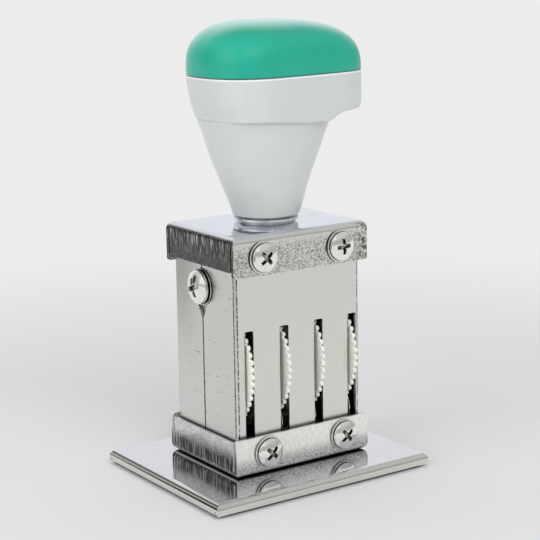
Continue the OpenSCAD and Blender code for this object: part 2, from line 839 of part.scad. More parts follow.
// Nut bar along the foot of the case; the side is -1 at the front and 1 at the rear
module nut_bar(side) {
  difference() {
    translate([0, side * base_screw_y, (floor_z + nut_bar_top) / 2])
      cube([2 * cheek_in - 2 * play, nut_bar_t, nut_bar_top - floor_z], center = true);
    screw_holes(bottom_screw_z, row_shift, screw_r + tap_play);
    base_screw_places() cylinder(r = base_screw_r + tap_play, h = base_screw_top + hole_play);
  }
}

module front_nut_bar() {
  color("slategray") at_box() difference() {
    nut_bar(-1);
    for (i = [0 : 3]) translate([wheel_x(i) + spring_side[i], spring_leg_y, spring_foot_z - play])
      cylinder(r = wire_r + tap_play, h = through, $fn = 24);
  }
}

module rear_nut_bar() {
  color("slategray") at_box() nut_bar(1);
}

module base_screws() {
  color("silver") at_box() base_screw_places() translate([0, 0, plate_low]) difference() {
    union() {
      translate([0, 0, -base_head_t]) cylinder(r = base_head_r, h = base_head_t);
      cylinder(r = base_screw_r, h = base_screw_top - plate_low);
    }
    for (turn = [0, 90]) rotate(turn) translate([0, 0, -base_head_t])
      cube([base_recess_span, base_recess_w, base_head_t], center = true);
  }
}

module side_screws() {
  color("silver") at_box() left_and_right(case_w / 2 + side_washer_t + lock_washer_t)
    rotate(side_recess_turn) pan_screw(side_screw_length, side_screw_r, side_head_r, side_head_dome);
}

module side_washers() {
  color("silver") at_box() left_and_right(case_w / 2) washer(side_washer_r, side_hole, side_washer_t);
}

// Split washers under the heads of the side screws
module side_lock_washers() {
  color("silver") at_box() left_and_right(case_w / 2 + side_washer_t) difference() {
    washer(lock_washer_r, side_hole, lock_washer_t);
    translate([(lock_washer_r + side_hole) / 2, 0, lock_washer_t / 2]) rotate([lock_washer_slant, 0, 0])
      cube([lock_washer_r, lock_washer_split, 3 * lock_washer_t], center = true);
  }
}

// Tie bar: tapped at both ends, it carries the cheeks and clamps the case's seams
module tie_bar() {
  color("darkgray") at_box() translate([0, seam_back, side_screw_z]) rotate([0, 90, 0]) difference() {
    cylinder(r = tie_r, h = case_in_w, center = true);
    for (side = [-1, 1]) translate([0, 0, side * (case_in_w / 2 - side_screw_length / 2)])
      cylinder(r = side_screw_r + tap_play, h = side_screw_length + eps, center = true);
  }
}

// Cheek: a plate inside each case wall that hangs on the tie bar and holds the axle
module cheek() {
  lug = tie_r + cheek_lug;
  rotate([90, 0, 90]) linear_extrude(cheek_t) difference() {
    union() {
      polygon([
        [axle_y - cheek_half_d, floor_z], [axle_y + cheek_half_d, floor_z], [axle_y + cheek_half_d, axle_z],
        [seam_back + lug, side_screw_z], [seam_back - lug, side_screw_z], [axle_y - cheek_half_d, axle_z]
      ]);
      translate([seam_back, side_screw_z]) circle(lug);
    }
    translate([seam_back, side_screw_z]) circle(tie_r + play);
    translate([axle_y, axle_z]) circle(bore_r);
    translate([axle_y, (tenon_low + tenon_high) / 2])
      square([tenon_w + 2 * play, tenon_high - tenon_low + 2 * play], center = true);
  }
}

module left_cheek() {
  color("darkgray") at_box() translate([-cheek_out, 0, 0]) cheek();
}

module right_cheek() {
  color("darkgray") at_box() translate([cheek_in, 0, 0]) cheek();
}

module axle() {
  color("silver") at_box() translate([0, axle_y, axle_z]) rotate([0, 90, 0])
    cylinder(r = axle_r, h = 2 * cheek_out - 2 * play, center = true);
}

// A sleeve on the axle from one x to another, with end play at both ends
module sleeve(from, to, wall) {
  translate([from + end_play, axle_y, axle_z]) rotate([0, 90, 0])
    washer(axle_r + wall, bore_r, to - from - 2 * end_play);
}

module axle_spacers() {
  color("gray") at_box() {
    sleeve(-cheek_in - end_play + play, wheel_x(0) - wheel_t / 2, thin_sleeve);
    sleeve(wheel_x(1) + wheel_t / 2, wheel_x(2) - wheel_t / 2, thick_sleeve);
    sleeve(wheel_x(3) + wheel_t / 2, cheek_in + end_play - play, thin_sleeve);
    for (i = [0, 2])
      sleeve(wheel_x(i) + wheel_t / 2 + drum_w, wheel_x(i + 1) - wheel_t / 2 - drum_w, thin_sleeve);
  }
}

// Print bar: a flat-nosed bar on two tenons, over which the bands turn
module print_bar() {
  color("dimgray") at_box() {
    translate([row_mid, axle_y, 0]) rotate([90, 0, 90]) linear_extrude(bar_foot_w, center = true)
      translate([0, (bar_bottom + bar_step_z) / 2 + bar_nose])
        rounded_2d(bar_t, bar_step_z - bar_bottom + 2 * bar_nose, bar_nose);
    translate([0, axle_y, (bar_step_z + bar_top) / 2])
      cube([2 * cheek_in - 2 * play, bar_t, bar_top - bar_step_z], center = true);
    translate([0, axle_y, (tenon_low + tenon_high) / 2])
      cube([2 * cheek_out - 2 * play, tenon_w, tenon_high - tenon_low], center = true);
  }
}

// Setting wheel: a rounded-tooth rim, with the drum of its band on one side
module thumb_wheel(i) {
  color("ivory") at_box() translate([wheel_x(i), axle_y, axle_z]) rotate([90, 0, 90]) difference() {
    union() {
      linear_extrude(wheel_t, center = true) {
        circle(tooth_root, $fn = 128);
        for (k = [0 : wheel_teeth - 1]) rotate(180 + k * tooth_step) {
          translate([tooth_ring, 0]) circle(tooth_r, $fn = 20);
          polygon([
            [tooth_root - tooth_sink, -tooth_foot], [tooth_ring, -tooth_top],
            [tooth_ring, tooth_top], [tooth_root - tooth_sink, tooth_foot]
          ]);
        }
      }
      translate([0, 0, drum_side[i] > 0 ? 0 : -wheel_t / 2 - drum_w])
        cylinder(r = drum_r, h = wheel_t / 2 + drum_w);
    }
    cylinder(r = bore_r, h = through, center = true);
  }
}

// Outline of a band's loop, grown outwards by a distance
module loop_2d(grow) {
  top_r = loop_top_r + grow;
  nose_r = loop_nose_r + grow;
  top_x = cos(loop_tilt) * (top_r - loop_join);
  nose_x = loop_half + cos(loop_tilt) * (nose_r - loop_join);
  top_z = axle_z - sin(loop_tilt) * (top_r - loop_join);
  nose_z = loop_nose_z - sin(loop_tilt) * (nose_r - loop_join);
  low = loop_nose_z - nose_r;
  translate([0, axle_z]) circle(top_r, $fn = 96);
  for (side = [-1, 1]) translate([side * loop_half, loop_nose_z]) circle(nose_r, $fn = 48);
  polygon([
    [top_x, top_z], [-top_x, top_z], [-nose_x, nose_z], [-loop_half, low], [loop_half, low], [nose_x, nose_z]
  ]);
}

// A number as seven straight strokes, raised by the relief and sunk as deep into the band
module digit(n) {
  w = digit_w - digit_line;
  h = (digit_h - digit_line) / 2;
  strokes = [
    [0, h, w, 0], [w / 2, h / 2, 0, h], [w / 2, -h / 2, 0, h], [0, -h, w, 0],
    [-w / 2, -h / 2, 0, h], [-w / 2, h / 2, 0, h], [0, 0, w, 0]
  ];
  for (k = [0 : 6]) if (segments[n][k] == 1)
    translate([strokes[k][0], strokes[k][1], 0])
      cube([strokes[k][2] + digit_line, strokes[k][3] + digit_line, 2 * relief_h], center = true);
}

// Number band: a rubber loop over the drum and the print bar with ten raised numbers
module date_band(i) {
  first = printed[i];
  side_mid = (axle_z + loop_nose_z) / 2;
  side_out = (loop_top_r + loop_half + loop_nose_r) / 2 + band_t;
  color("black") at_box() translate([drum_x(i), axle_y, 0]) difference() {
    union() {
      rotate([90, 0, 90]) linear_extrude(band_w, center = true) loop_2d(band_t);
      translate([0, 0, relief_h]) digit(first);
      for (side = [-1, 1], k = [-1 : side_digits - 2])
        translate([0, side * (side_out + k * side_pitch * sin(loop_tilt)), side_mid + k * side_pitch])
          rotate([-side * (90 + loop_tilt), 0, 0]) digit((side > 0 ? first + 2 + k : first + 8 - k) % 10);
      for (k = [-1 : 1]) translate([0, 0, axle_z]) rotate([k * top_digit_turn, 0, 0])
        translate([0, 0, loop_top_r + band_t]) rotate([180, 0, 0]) digit((first + 5 + k) % 10);
    }
    rotate([90, 0, 90]) linear_extrude(through, center = true) loop_2d(0);
  }
}

// Detent spring: a wire leg in the front nut bar that bends into a tooth gap
module detent_spring(i) {
  route = concat(
    [[0, spring_foot_z, 0], [0, spring_bend_z, 0]],
    [
      for (k = [1 : wire_steps]) let (a = spring_turn * k / wire_steps)
        [spring_bend_r * (1 - cos(a)), spring_bend_z + spring_bend_r * sin(a), a]
    ]
  );
  stack = [
    for (p = route) [
      for (k = [0 : wire_sides - 1])
        let (a = 360 * k / wire_sides, s = wire_r * sin(a))
        [wire_r * cos(a), p[0] + s * cos(p[2]), p[1] - s * sin(p[2])]
    ]
  ];
  color("gainsboro") at_box() translate([wheel_x(i) + spring_side[i], spring_leg_y, 0]) skin(stack);
}

grip_cap();
handle_body();
handle_insert();
handle_stud();
collar();
stud_washer();
stud_nut();
top_pan();
top_bridge();
front_shell();
rear_shell();
bottom_pan();
base_plate();
base_cushion();
stamp_die();
top_screws();
top_washers();
top_nuts();
bottom_screws();
bottom_washers();
bottom_spacers();
front_nut_bar();
rear_nut_bar();
base_screws();
side_screws();
side_washers();
side_lock_washers();
tie_bar();
left_cheek();
right_cheek();
axle();
axle_spacers();
print_bar();
thumb_wheel(0);  // thumb_wheel_1
thumb_wheel(1);  // thumb_wheel_2
thumb_wheel(2);  // thumb_wheel_3
thumb_wheel(3);  // thumb_wheel_4
date_band(0);  // date_band_1
date_band(1);  // date_band_2
date_band(2);  // date_band_3
date_band(3);  // date_band_4
detent_spring(0);  // detent_spring_1
detent_spring(1);  // detent_spring_2
detent_spring(2);  // detent_spring_3
detent_spring(3);  // detent_spring_4
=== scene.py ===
import json
import math
from collections import namedtuple

import bmesh
import bpy
from mathutils import Matrix, Vector

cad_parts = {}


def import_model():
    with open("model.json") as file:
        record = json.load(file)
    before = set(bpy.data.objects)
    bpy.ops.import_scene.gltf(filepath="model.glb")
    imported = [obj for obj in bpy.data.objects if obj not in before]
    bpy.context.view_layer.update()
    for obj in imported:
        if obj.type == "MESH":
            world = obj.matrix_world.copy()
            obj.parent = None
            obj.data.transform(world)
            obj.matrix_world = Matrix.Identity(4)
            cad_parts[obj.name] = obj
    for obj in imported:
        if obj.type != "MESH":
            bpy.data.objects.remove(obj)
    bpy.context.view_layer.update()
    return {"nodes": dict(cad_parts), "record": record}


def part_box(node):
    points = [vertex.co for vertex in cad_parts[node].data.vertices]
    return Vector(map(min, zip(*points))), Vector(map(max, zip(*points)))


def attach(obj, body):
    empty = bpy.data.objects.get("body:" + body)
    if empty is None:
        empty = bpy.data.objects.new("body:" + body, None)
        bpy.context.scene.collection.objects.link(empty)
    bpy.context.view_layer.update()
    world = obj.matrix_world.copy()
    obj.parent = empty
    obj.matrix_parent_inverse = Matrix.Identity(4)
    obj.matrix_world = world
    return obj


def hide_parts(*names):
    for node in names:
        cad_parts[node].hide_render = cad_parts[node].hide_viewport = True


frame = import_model()
MM = 0.001

# Places that the frame gives, in metres
pan_low, pan_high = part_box("top_pan")
plate_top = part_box("base_plate")[1].z
bottom_low, bottom_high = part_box("bottom_pan")
handle_low, handle_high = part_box("handle_body")
cap_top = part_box("grip_cap")[1].z
case_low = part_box("front_shell")[0]
case_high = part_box("rear_shell")[1]
BOX_X = (pan_low.x + pan_high.x) / 2
BOX_Y = (pan_low.y + pan_high.y) / 2


def grey(value):
    return (value, value, value)


class Nodes:
    """Short calls that add shader nodes to a tree."""

    def __init__(self, tree):
        self.tree = tree
        tree.nodes.clear()

    def put(self, node, name, value):
        if isinstance(value, bpy.types.NodeSocket):
            self.tree.links.new(value, node.inputs[name])
        else:
            node.inputs[name].default_value = value

    def math(self, operation, a, b=0.0, clamp=False):
        node = self.tree.nodes.new("ShaderNodeMath")
        node.operation = operation
        node.use_clamp = clamp
        self.put(node, 0, a)
        self.put(node, 1, b)
        return node.outputs[0]

    def times(self, first, *others):
        for other in others:
            first = self.math("MULTIPLY", first, other)
        return first

    def most(self, first, *others):
        for other in others:
            first = self.math("MAXIMUM", first, other)
        return first

    def rest(self, value):
        """What a share leaves of the whole."""
        return self.math("SUBTRACT", 1.0, value)

    def axis(self, name, source=None):
        node = self.tree.nodes.new("ShaderNodeSeparateXYZ")
        self.put(node, 0, source or self.place)
        return node.outputs[name]

    def ramp(self, value, low, high, smooth=True):
        """0 below low, 1 above high."""
        node = self.tree.nodes.new("ShaderNodeMapRange")
        node.interpolation_type = "SMOOTHSTEP" if smooth else "LINEAR"
        self.put(node, "Value", value)
        self.put(node, "From Min", low)
        self.put(node, "From Max", high)
        return node.outputs[0]

    def band(self, value, low, high, soft):
        """1 from low to high, with soft edges."""
        over = self.ramp(value, low - soft, low + soft)
        return self.times(over, self.rest(self.ramp(value, high - soft, high + soft)))

    def span(self, value, low, high):
        """A 0 to 1 value spread from low to high."""
        node = self.tree.nodes.new("ShaderNodeMapRange")
        self.put(node, "Value", value)
        self.put(node, "To Min", low)
        self.put(node, "To Max", high)
        return node.outputs[0]

    def mix(self, share, a, b):
        """The colour a where share is 0, and b where it is 1."""
        node = self.tree.nodes.new("ShaderNodeMix")
        node.data_type = "RGBA"
        self.put(node, 0, share)
        for socket, value in ((6, a), (7, b)):
            if isinstance(value, bpy.types.NodeSocket):
                self.tree.links.new(value, node.inputs[socket])
            else:
                node.inputs[socket].default_value = (*value, 1)
        return node.outputs[2]

    def blend(self, share, a, b):
        """The shader a where share is 0, and b where it is 1."""
        node = self.tree.nodes.new("ShaderNodeMixShader")
        self.put(node, 0, share)
        self.tree.links.new(a, node.inputs[1])
        self.tree.links.new(b, node.inputs[2])
        return node.outputs[0]

    def glow(self, kind, colour, strength=1.0):
        """An Emission or Background shader."""
        node = self.tree.nodes.new(kind)
        if isinstance(colour, bpy.types.NodeSocket):
            self.tree.links.new(colour, node.inputs["Color"])
        else:
            node.inputs["Color"].default_value = (*colour, 1)
        node.inputs["Strength"].default_value = strength
        return node.outputs[0]

    def path(self, name):
        return self.tree.nodes.new("ShaderNodeLightPath").outputs[name]


class Surface(Nodes):
    """A material with a Principled shader. Lengths are in millimetres, places in metres."""

    def __init__(self, name, **sockets):
        self.material = bpy.data.materials.new(name)
        self.material.use_nodes = True
        super().__init__(self.material.node_tree)
        self.shader = self.tree.nodes.new("ShaderNodeBsdfPrincipled")
        self.output = self.tree.nodes.new("ShaderNodeOutputMaterial")
        self.tree.links.new(self.shader.outputs["BSDF"], self.output.inputs["Surface"])
        coordinates = self.tree.nodes.new("ShaderNodeTexCoord")
        self.place = coordinates.outputs["Object"]
        self.normal = coordinates.outputs["Normal"]
        for name, value in sockets.items():
            self.shader.inputs[name.replace("_", " ")].default_value = value

    def facing(self, name):
        """1 where the surface faces along the axis, either way, and 0 where it is square to it."""
        return self.math("ABSOLUTE", self.axis(name, self.normal))

    def level(self):
        """1 on flats that face up or down."""
        return self.ramp(self.facing("Z"), 0.6, 0.93)

    def side(self):
        """1 on flats that face left or right."""
        return self.ramp(self.facing("X"), 0.6, 0.9)

    def off(self, name, middle):
        """Distance from a place along an axis."""
        return self.math("ABSOLUTE", self.math("SUBTRACT", self.axis(name), middle))

    def stretched(self, size):
        """Object coordinates in units of size, which is in millimetres along X, Y and Z."""
        node = self.tree.nodes.new("ShaderNodeMapping")
        self.put(node, "Vector", self.place)
        node.inputs["Scale"].default_value = [1 / (s * MM) for s in size]
        return node.outputs[0]

    def noise(self, size, detail=2.0, roughness=0.5, distortion=0.0):
        size = size if hasattr(size, "__len__") else (size, size, size)
        node = self.tree.nodes.new("ShaderNodeTexNoise")
        self.put(node, "Vector", self.stretched(size))
        self.put(node, "Scale", 1.0)
        self.put(node, "Detail", detail)
        self.put(node, "Roughness", roughness)
        self.put(node, "Distortion", distortion)
        return node.outputs["Fac"]

    def uneven(self, value, size, low, high, detail=2.0):
        """A value with patches of a size added, from low to high."""
        return self.math("ADD", value, self.span(self.noise(size, detail), low, high))

    def cells(self, size):
        node = self.tree.nodes.new("ShaderNodeTexVoronoi")
        self.put(node, "Vector", self.stretched((size, size, size)))
        self.put(node, "Scale", 1.0)
        return node.outputs["Distance"]

    def open(self, reach):
        """1 in the open, and towards 0 in corners, cuts and recesses, seen within reach."""
        node = self.tree.nodes.new("ShaderNodeAmbientOcclusion")
        node.samples = 8
        node.inputs["Distance"].default_value = reach * MM
        return node.outputs["AO"]

    def grazing(self):
        """0 where the surface is seen square on, and 1 at grazing angles, for gloss and sheen."""
        node = self.tree.nodes.new("ShaderNodeLayerWeight")
        node.inputs["Blend"].default_value = 0.5
        return node.outputs["Facing"]

    def bump(self, height, distance, strength=1.0, after=None):
        node = self.tree.nodes.new("ShaderNodeBump")
        self.put(node, "Height", height)
        node.inputs["Distance"].default_value = distance * MM
        node.inputs["Strength"].default_value = strength
        if after is not None:
            self.put(node, "Normal", after)
        return node.outputs["Normal"]

    def set(self, **sockets):
        for name, value in sockets.items():
            self.put(self.shader, name.replace("_", " "), value)
        return self.material


def cap_plastic():
    """Soft green plastic with painted shade darkening its top and a painted dark shade line just above its
    seam, and a pale sheen painted into its colour towards its outline, most of all where it faces up and
    least on the nose's end."""
    s = Surface(
        "cap_plastic", IOR=1.45, Coat_Weight=0.25, Coat_Roughness=0.2, Sheen_Weight=0.35,
        Sheen_Roughness=0.25, Sheen_Tint=(0.88, 1.0, 0.97, 1),
    )
    green = s.mix(s.noise(9, 3), (0.004, 0.385, 0.262), (0.009, 0.440, 0.304))
    # Painted shade: the top of the dome is coloured darker, as if less lit
    painted_crown_shade = s.ramp(s.axis("Z"), cap_top - 6 * MM, cap_top)
    green = s.mix(painted_crown_shade, green, (0.005, 0.320, 0.205))
    nose_end = s.ramp(s.axis("X", s.normal), 0.35, 0.95)
    upward = s.ramp(s.axis("Z", s.normal), 0.10, 0.75)
    # Painted sheen: the colour turns pale towards grazing angles, mostly where the cap faces up
    painted_sheen = s.ramp(s.uneven(s.grazing(), 5, -0.05, 0.05, 3), 0.42, 0.86)
    painted_sheen = s.times(painted_sheen, s.rest(s.times(nose_end, 0.8)), s.span(upward, 0.15, 1.0))
    green = s.mix(painted_sheen, green, (0.340, 0.650, 0.580))
    # Painted sheen: paler still close to the outline
    green = s.mix(s.ramp(s.grazing(), 0.74, 0.96), green, (0.520, 0.750, 0.700))
    # Painted shade: a dark line along the cap's lowest edge, at the seam with the handle
    above_painted_seam_shade = s.ramp(s.axis("Z"), handle_high.z + 0.15 * MM, handle_high.z + 0.5 * MM)
    return s.set(
        Base_Color=s.mix(above_painted_seam_shade, (0.004, 0.105, 0.070), green),
        Roughness=s.span(s.noise(2.5, 4), 0.34, 0.42),
        Normal=s.bump(s.noise(2.2, 3), 0.006),
    )


def handle_plastic():
    """Glossy off-white plastic with a painted highlight line round its upper edge."""
    s = Surface("handle_plastic", IOR=1.5, Coat_Weight=0.25, Coat_Roughness=0.15)
    white = s.mix(s.noise(14, 3), (0.630, 0.665, 0.655), (0.670, 0.705, 0.700))
    # Painted highlight: the handle's top edge is coloured near white, as if catching the light
    brim = s.ramp(s.axis("Z"), handle_high.z - 0.55 * MM, handle_high.z - 0.30 * MM)
    return s.set(
        Base_Color=s.mix(brim, white, (0.93, 0.96, 0.96)),
        Roughness=s.span(s.noise(5, 3), 0.26, 0.33),
        Normal=s.bump(s.noise(3, 2), 0.006),
    )


def top_pan_sheet():
    """Polished sheet: a mirror on top, pitted on the front and rear flanges and darker in patches at their
    right end, and scored by the press along the side flanges, which are painted dark as a dim reflection."""
    s = Surface("top_pan_sheet", Metallic=1.0)
    level, side = s.level(), s.side()
    height = s.ramp(s.axis("Z"), pan_low.z, pan_high.z, smooth=False)
    peel = s.noise(0.30, 3, 0.6)
    pits = s.ramp(s.uneven(peel, 3.5, -0.06, 0.06), 0.42, 0.62)
    pits = s.times(pits, s.rest(s.ramp(height, 0.60, 0.92)))
    front = s.mix(pits, (0.76, 0.77, 0.72), (0.22, 0.22, 0.205))
    # Darker in patches towards the right end
    right_end = s.ramp(s.axis("X"), pan_high.x - 6 * MM, pan_high.x - 1 * MM)
    right_end_patches = s.times(right_end, s.ramp(s.noise(0.8, 3), 0.42, 0.62))
    front = s.mix(right_end_patches, front, (0.10, 0.10, 0.095))
    # Painted reflection: the side flanges are coloured dark, as if mirroring a dim surround, evenest and
    # darkest in their upper part; the light streaks on them are scoring
    grain = s.noise((0.4, 0.6, 0.3), 4, 0.7)
    painted_dark_grain = s.mix(s.ramp(grain, 0.4, 0.7), grey(0.045), (0.20, 0.20, 0.195))
    dark = s.mix(s.ramp(height, 0.3, 0.6), painted_dark_grain, (0.050, 0.050, 0.052))
    streak = s.ramp(s.noise((0.30, 0.30, 6), 3, 0.6), 0.53, 0.66)
    scored = s.times(streak, s.ramp(s.uneven(height, 1.5, -0.2, 0.2), 0.3, 0.55))
    side_with_painted_dark = s.mix(scored, dark, (0.62, 0.62, 0.61))
    return s.set(
        Base_Color=s.mix(level, s.mix(side, front, side_with_painted_dark), (0.73, 0.74, 0.79)),
        Roughness=s.uneven(s.span(level, 0.24, 0.06), 6, -0.02, 0.03, 3),
        Normal=s.bump(s.times(peel, s.rest(level)), 0.03),
    )


def bottom_pan_sheet():
    """Sheet that is bright and finely grained at the front and rear, pitted towards its foot, and scored
    along the lower half of its side flanges, which is painted dark as a dim reflection. Its upright bends
    carry a painted highlight, and its foot is painted dark as contact shade where it meets the plate."""
    s = Surface("bottom_pan_sheet")
    level, side = s.level(), s.side()
    height = s.ramp(s.axis("Z"), bottom_low.z, bottom_high.z, smooth=False)
    peel = s.noise(0.4, 3, 0.6)
    fine = s.ramp(s.noise((0.25, 0.25, 1.6), 4, 0.65), 0.35, 0.7)
    front = s.mix(fine, (0.74, 0.75, 0.71), (0.97, 0.98, 0.93))
    lower = s.rest(s.ramp(s.uneven(height, 1.5, -0.15, 0.15), 0.12, 0.5))
    front = s.mix(s.times(lower, s.ramp(peel, 0.40, 0.60)), front, (0.28, 0.28, 0.265))
    grain = s.ramp(s.noise((0.5, 0.8, 0.25), 4, 0.7), 0.35, 0.7)
    pale = s.mix(grain, (0.42, 0.42, 0.41), (0.92, 0.92, 0.90))
    streak = s.ramp(s.noise((0.42, 0.42, 6), 3, 0.6), 0.50, 0.66)
    # Painted reflection: the lower part of the side flanges is coloured near black, as if mirroring a dim
    # surround, under light streaks of scoring
    scored = s.mix(streak, grey(0.055), (0.64, 0.64, 0.62))
    side_with_painted_dark = s.mix(s.rest(s.ramp(s.uneven(height, 2, -0.12, 0.12), 0.35, 0.72)), pale, scored)
    outer = s.mix(level, s.mix(side, front, side_with_painted_dark), (0.72, 0.72, 0.74))
    # Painted highlight: the upright corner bends are coloured near white and made less metallic, as if
    # catching the light
    painted_fold_reflection = s.times(s.band(s.facing("X"), 0.30, 0.82, 0.08), s.rest(level))
    outer = s.mix(painted_fold_reflection, outer, (0.97, 0.97, 0.95))
    # Painted shade: the foot is coloured near black as contact shade on the plate
    foot = s.rest(s.ramp(s.axis("Z"), bottom_low.z + 0.35 * MM, bottom_low.z + 0.9 * MM))
    return s.set(
        Base_Color=s.mix(foot, outer, grey(0.05)),
        Metallic=s.math("SUBTRACT", s.span(s.most(side, level), 0.55, 0.68), s.times(painted_fold_reflection, 0.4)),
        Roughness=s.uneven(s.span(level, 0.17, 0.07), 6, -0.02, 0.03, 3),
        Normal=s.bump(s.times(peel, s.rest(level)), 0.012),
    )


def base_plate_sheet():
    """Sheet that is a mirror on top, and brushed round its folded edge, with a dark reflection painted
    along the bend of its left and right edges.
    """
    s = Surface("base_plate_sheet", Metallic=1.0)
    top = s.mix(s.noise((5, 5, 1.2), 4), (0.70, 0.71, 0.73), (0.77, 0.77, 0.80))
    edge = s.mix(s.noise(0.6, 3), (0.60, 0.61, 0.56), (0.76, 0.77, 0.71))
    # Painted reflection: a dark line along the bend of the left and right edges
    crease = s.times(s.band(s.facing("Z"), 0.66, 0.84, 0.05), s.ramp(s.facing("X"), 0.3, 0.5))
    edge = s.mix(crease, edge, (0.10, 0.10, 0.095))
    return s.set(
        Base_Color=s.mix(s.ramp(s.facing("Z"), 0.88, 0.97), edge, top),
        Roughness=s.span(s.noise(6, 3), 0.045, 0.075),
        Normal=s.bump(s.noise(7, 2), 0.01),
    )


def satin_sheet():
    """The case's sheet: brushed outside, with fine scratches across its sides, shade painted on its sides
    and most of all high at their rear, dotted dark reflections painted along its folds, shade painted dark
    on the cut walls round the slots, and shade painted black inside."""
    s = Surface("satin_sheet", Metallic=1.0)
    half_w = (case_high.x - case_low.x) / 2
    half_d = (case_high.y - case_low.y) / 2
    across = s.off("X", (case_low.x + case_high.x) / 2)
    deep = s.off("Y", (case_low.y + case_high.y) / 2)
    brushed = s.noise((0.12, 0.12, 9), 3, 0.6)
    face = s.mix(brushed, (0.71, 0.72, 0.675), (0.77, 0.78, 0.735))
    # Painted shade: the sides are coloured a little darker than the front and rear, and much darker towards
    # the top at the rear
    high = s.ramp(s.axis("Z"), case_high.z - 42 * MM, case_high.z - 6 * MM)
    rear = s.ramp(s.axis("Y"), BOX_Y - 2 * MM, BOX_Y + 12 * MM)
    wall = s.mix(brushed, (0.64, 0.65, 0.62), (0.70, 0.71, 0.68))
    wall = s.mix(s.times(high, rear), wall, (0.42, 0.42, 0.405))
    scratch = s.ramp(s.noise((3.6, 3.6, 0.24), 2, 0.5, 0.8), 0.67, 0.73)
    wall = s.mix(scratch, wall, (0.22, 0.22, 0.21))
    outside = s.mix(s.side(), face, wall)
    # Painted reflection: dotted dark lines along the folds at the corners
    painted_fold_reflection = s.most(s.band(s.facing("X"), 0.12, 0.42, 0.05), s.band(s.facing("X"), 0.84, 0.97, 0.03))
    fold_reflection_dots = s.ramp(s.noise((0.4, 0.4, 0.6), 3, 0.6), 0.36, 0.50)
    outside = s.mix(s.times(painted_fold_reflection, fold_reflection_dots), outside, (0.05, 0.05, 0.048))
    # Painted shade: cut walls away from the folds that face sideways, up or down, round the slots, are
    # coloured dark
    off_folds = s.rest(s.ramp(across, half_w - 1.6 * MM, half_w - 1.5 * MM))
    painted_cut_edge_shade = s.times(off_folds, s.rest(s.ramp(s.facing("Y"), 0.4, 0.6)))
    outside = s.mix(painted_cut_edge_shade, outside, (0.10, 0.10, 0.095))
    # Painted shade: the inside of the case is coloured near black
    within = s.times(
        s.rest(s.ramp(across, half_w - 0.87 * MM, half_w - 0.82 * MM)),
        s.rest(s.ramp(deep, half_d - 0.87 * MM, half_d - 0.82 * MM)),
    )
    return s.set(
        Base_Color=s.mix(within, outside, grey(0.010)),
        Roughness=s.most(s.span(s.noise(4, 3), 0.28, 0.34), s.times(within, 0.8)),
        Normal=s.bump(brushed, 0.006),
    )


def painted_edge_highlight():
    """Sheet coloured brighter along its rounded edges, as a painted highlight."""
    s = Surface("painted_edge_highlight", Metallic=1.0)
    edge_highlight_noise = s.noise(0.5, 3)
    return s.set(
        Base_Color=s.mix(s.ramp(edge_highlight_noise, 0.3, 0.6), (0.70, 0.70, 0.66), (0.93, 0.93, 0.89)),
        Roughness=s.span(edge_highlight_noise, 0.30, 0.45),
        Normal=s.bump(edge_highlight_noise, 0.006),
    )


def bright_nickel():
    """Nickel-plated screws and washers, with shade painted black in the crosses and under the heads."""
    s = Surface("bright_nickel", Metallic=1.0)
    # Painted shade: near black where the surface is hemmed in, in the crosses and under the heads
    clear_of_painted_shade = s.ramp(s.open(1.5), 0.50, 0.86)
    plate = s.mix(s.noise(1.5, 3), (0.80, 0.80, 0.76), (0.92, 0.92, 0.88))
    return s.set(
        Base_Color=s.mix(clear_of_painted_shade, (0.008, 0.008, 0.007), plate),
        Roughness=s.span(s.noise(0.8, 3), 0.10, 0.18),
        Normal=s.bump(s.noise(0.7, 2), 0.012),
    )


def polished_nickel():
    """The turned collar."""
    s = Surface("polished_nickel", Metallic=1.0)
    return s.set(
        Base_Color=s.mix(s.noise(3, 2), (0.84, 0.85, 0.85), (0.92, 0.92, 0.93)),
        Roughness=s.span(s.noise(2, 3), 0.22, 0.30),
        Normal=s.bump(s.noise((6, 6, 0.08), 2), 0.003),
    )


def zinc_steel():
    """Plated steel with a faint spangle, with shade painted near black deep inside the case."""
    s = Surface("zinc_steel", Metallic=1.0)
    spangle = s.mix(s.cells(1.4), (0.50, 0.51, 0.53), (0.68, 0.68, 0.66))
    return s.set(
        # Painted shade: near black where the surface is hemmed in, deep inside the case
        Base_Color=s.mix(s.ramp(s.open(7), 0.15, 0.6), grey(0.03), spangle),
        Roughness=s.span(s.noise(1.2, 3), 0.28, 0.42),
        Normal=s.bump(s.noise(0.3, 3), 0.01),
    )


def brass():
    s = Surface("turned_brass", Metallic=1.0)
    rings = s.noise((5, 5, 0.1), 3)
    return s.set(
        Base_Color=s.mix(rings, (0.62, 0.42, 0.14), (0.78, 0.58, 0.26)),
        Roughness=s.span(rings, 0.2, 0.34),
        Normal=s.bump(rings, 0.01),
    )


def wheel_plastic():
    """Cream plastic that lets a little light through its teeth, with shade painted dark where they are
    hemmed in.
    """
    s = Surface(
        "wheel_plastic", IOR=1.49, Subsurface_Weight=0.6, Subsurface_Radius=(1.0, 1.0, 0.85),
        Subsurface_Scale=0.8 * MM,
    )
    mottle = s.noise(0.9, 4)
    cream = s.mix(mottle, (0.95, 0.95, 0.81), (0.985, 0.985, 0.87))
    return s.set(
        # Painted shade: darker where the surface is hemmed in, between and beside the teeth
        Base_Color=s.mix(s.ramp(s.open(0.4), 0.12, 0.45), (0.30, 0.29, 0.24), cream),
        Roughness=s.span(s.noise(1.1, 3), 0.38, 0.5),
        Normal=s.bump(s.noise(0.4, 3), 0.01),
    )


def band_rubber():
    s = Surface("band_rubber", IOR=1.5)
    mottle = s.noise(0.8, 4)
    return s.set(
        Base_Color=s.mix(mottle, grey(0.012), grey(0.030)),
        Roughness=s.span(s.noise(0.6, 3), 0.55, 0.72),
        Normal=s.bump(s.noise(0.15, 3), 0.02),
    )


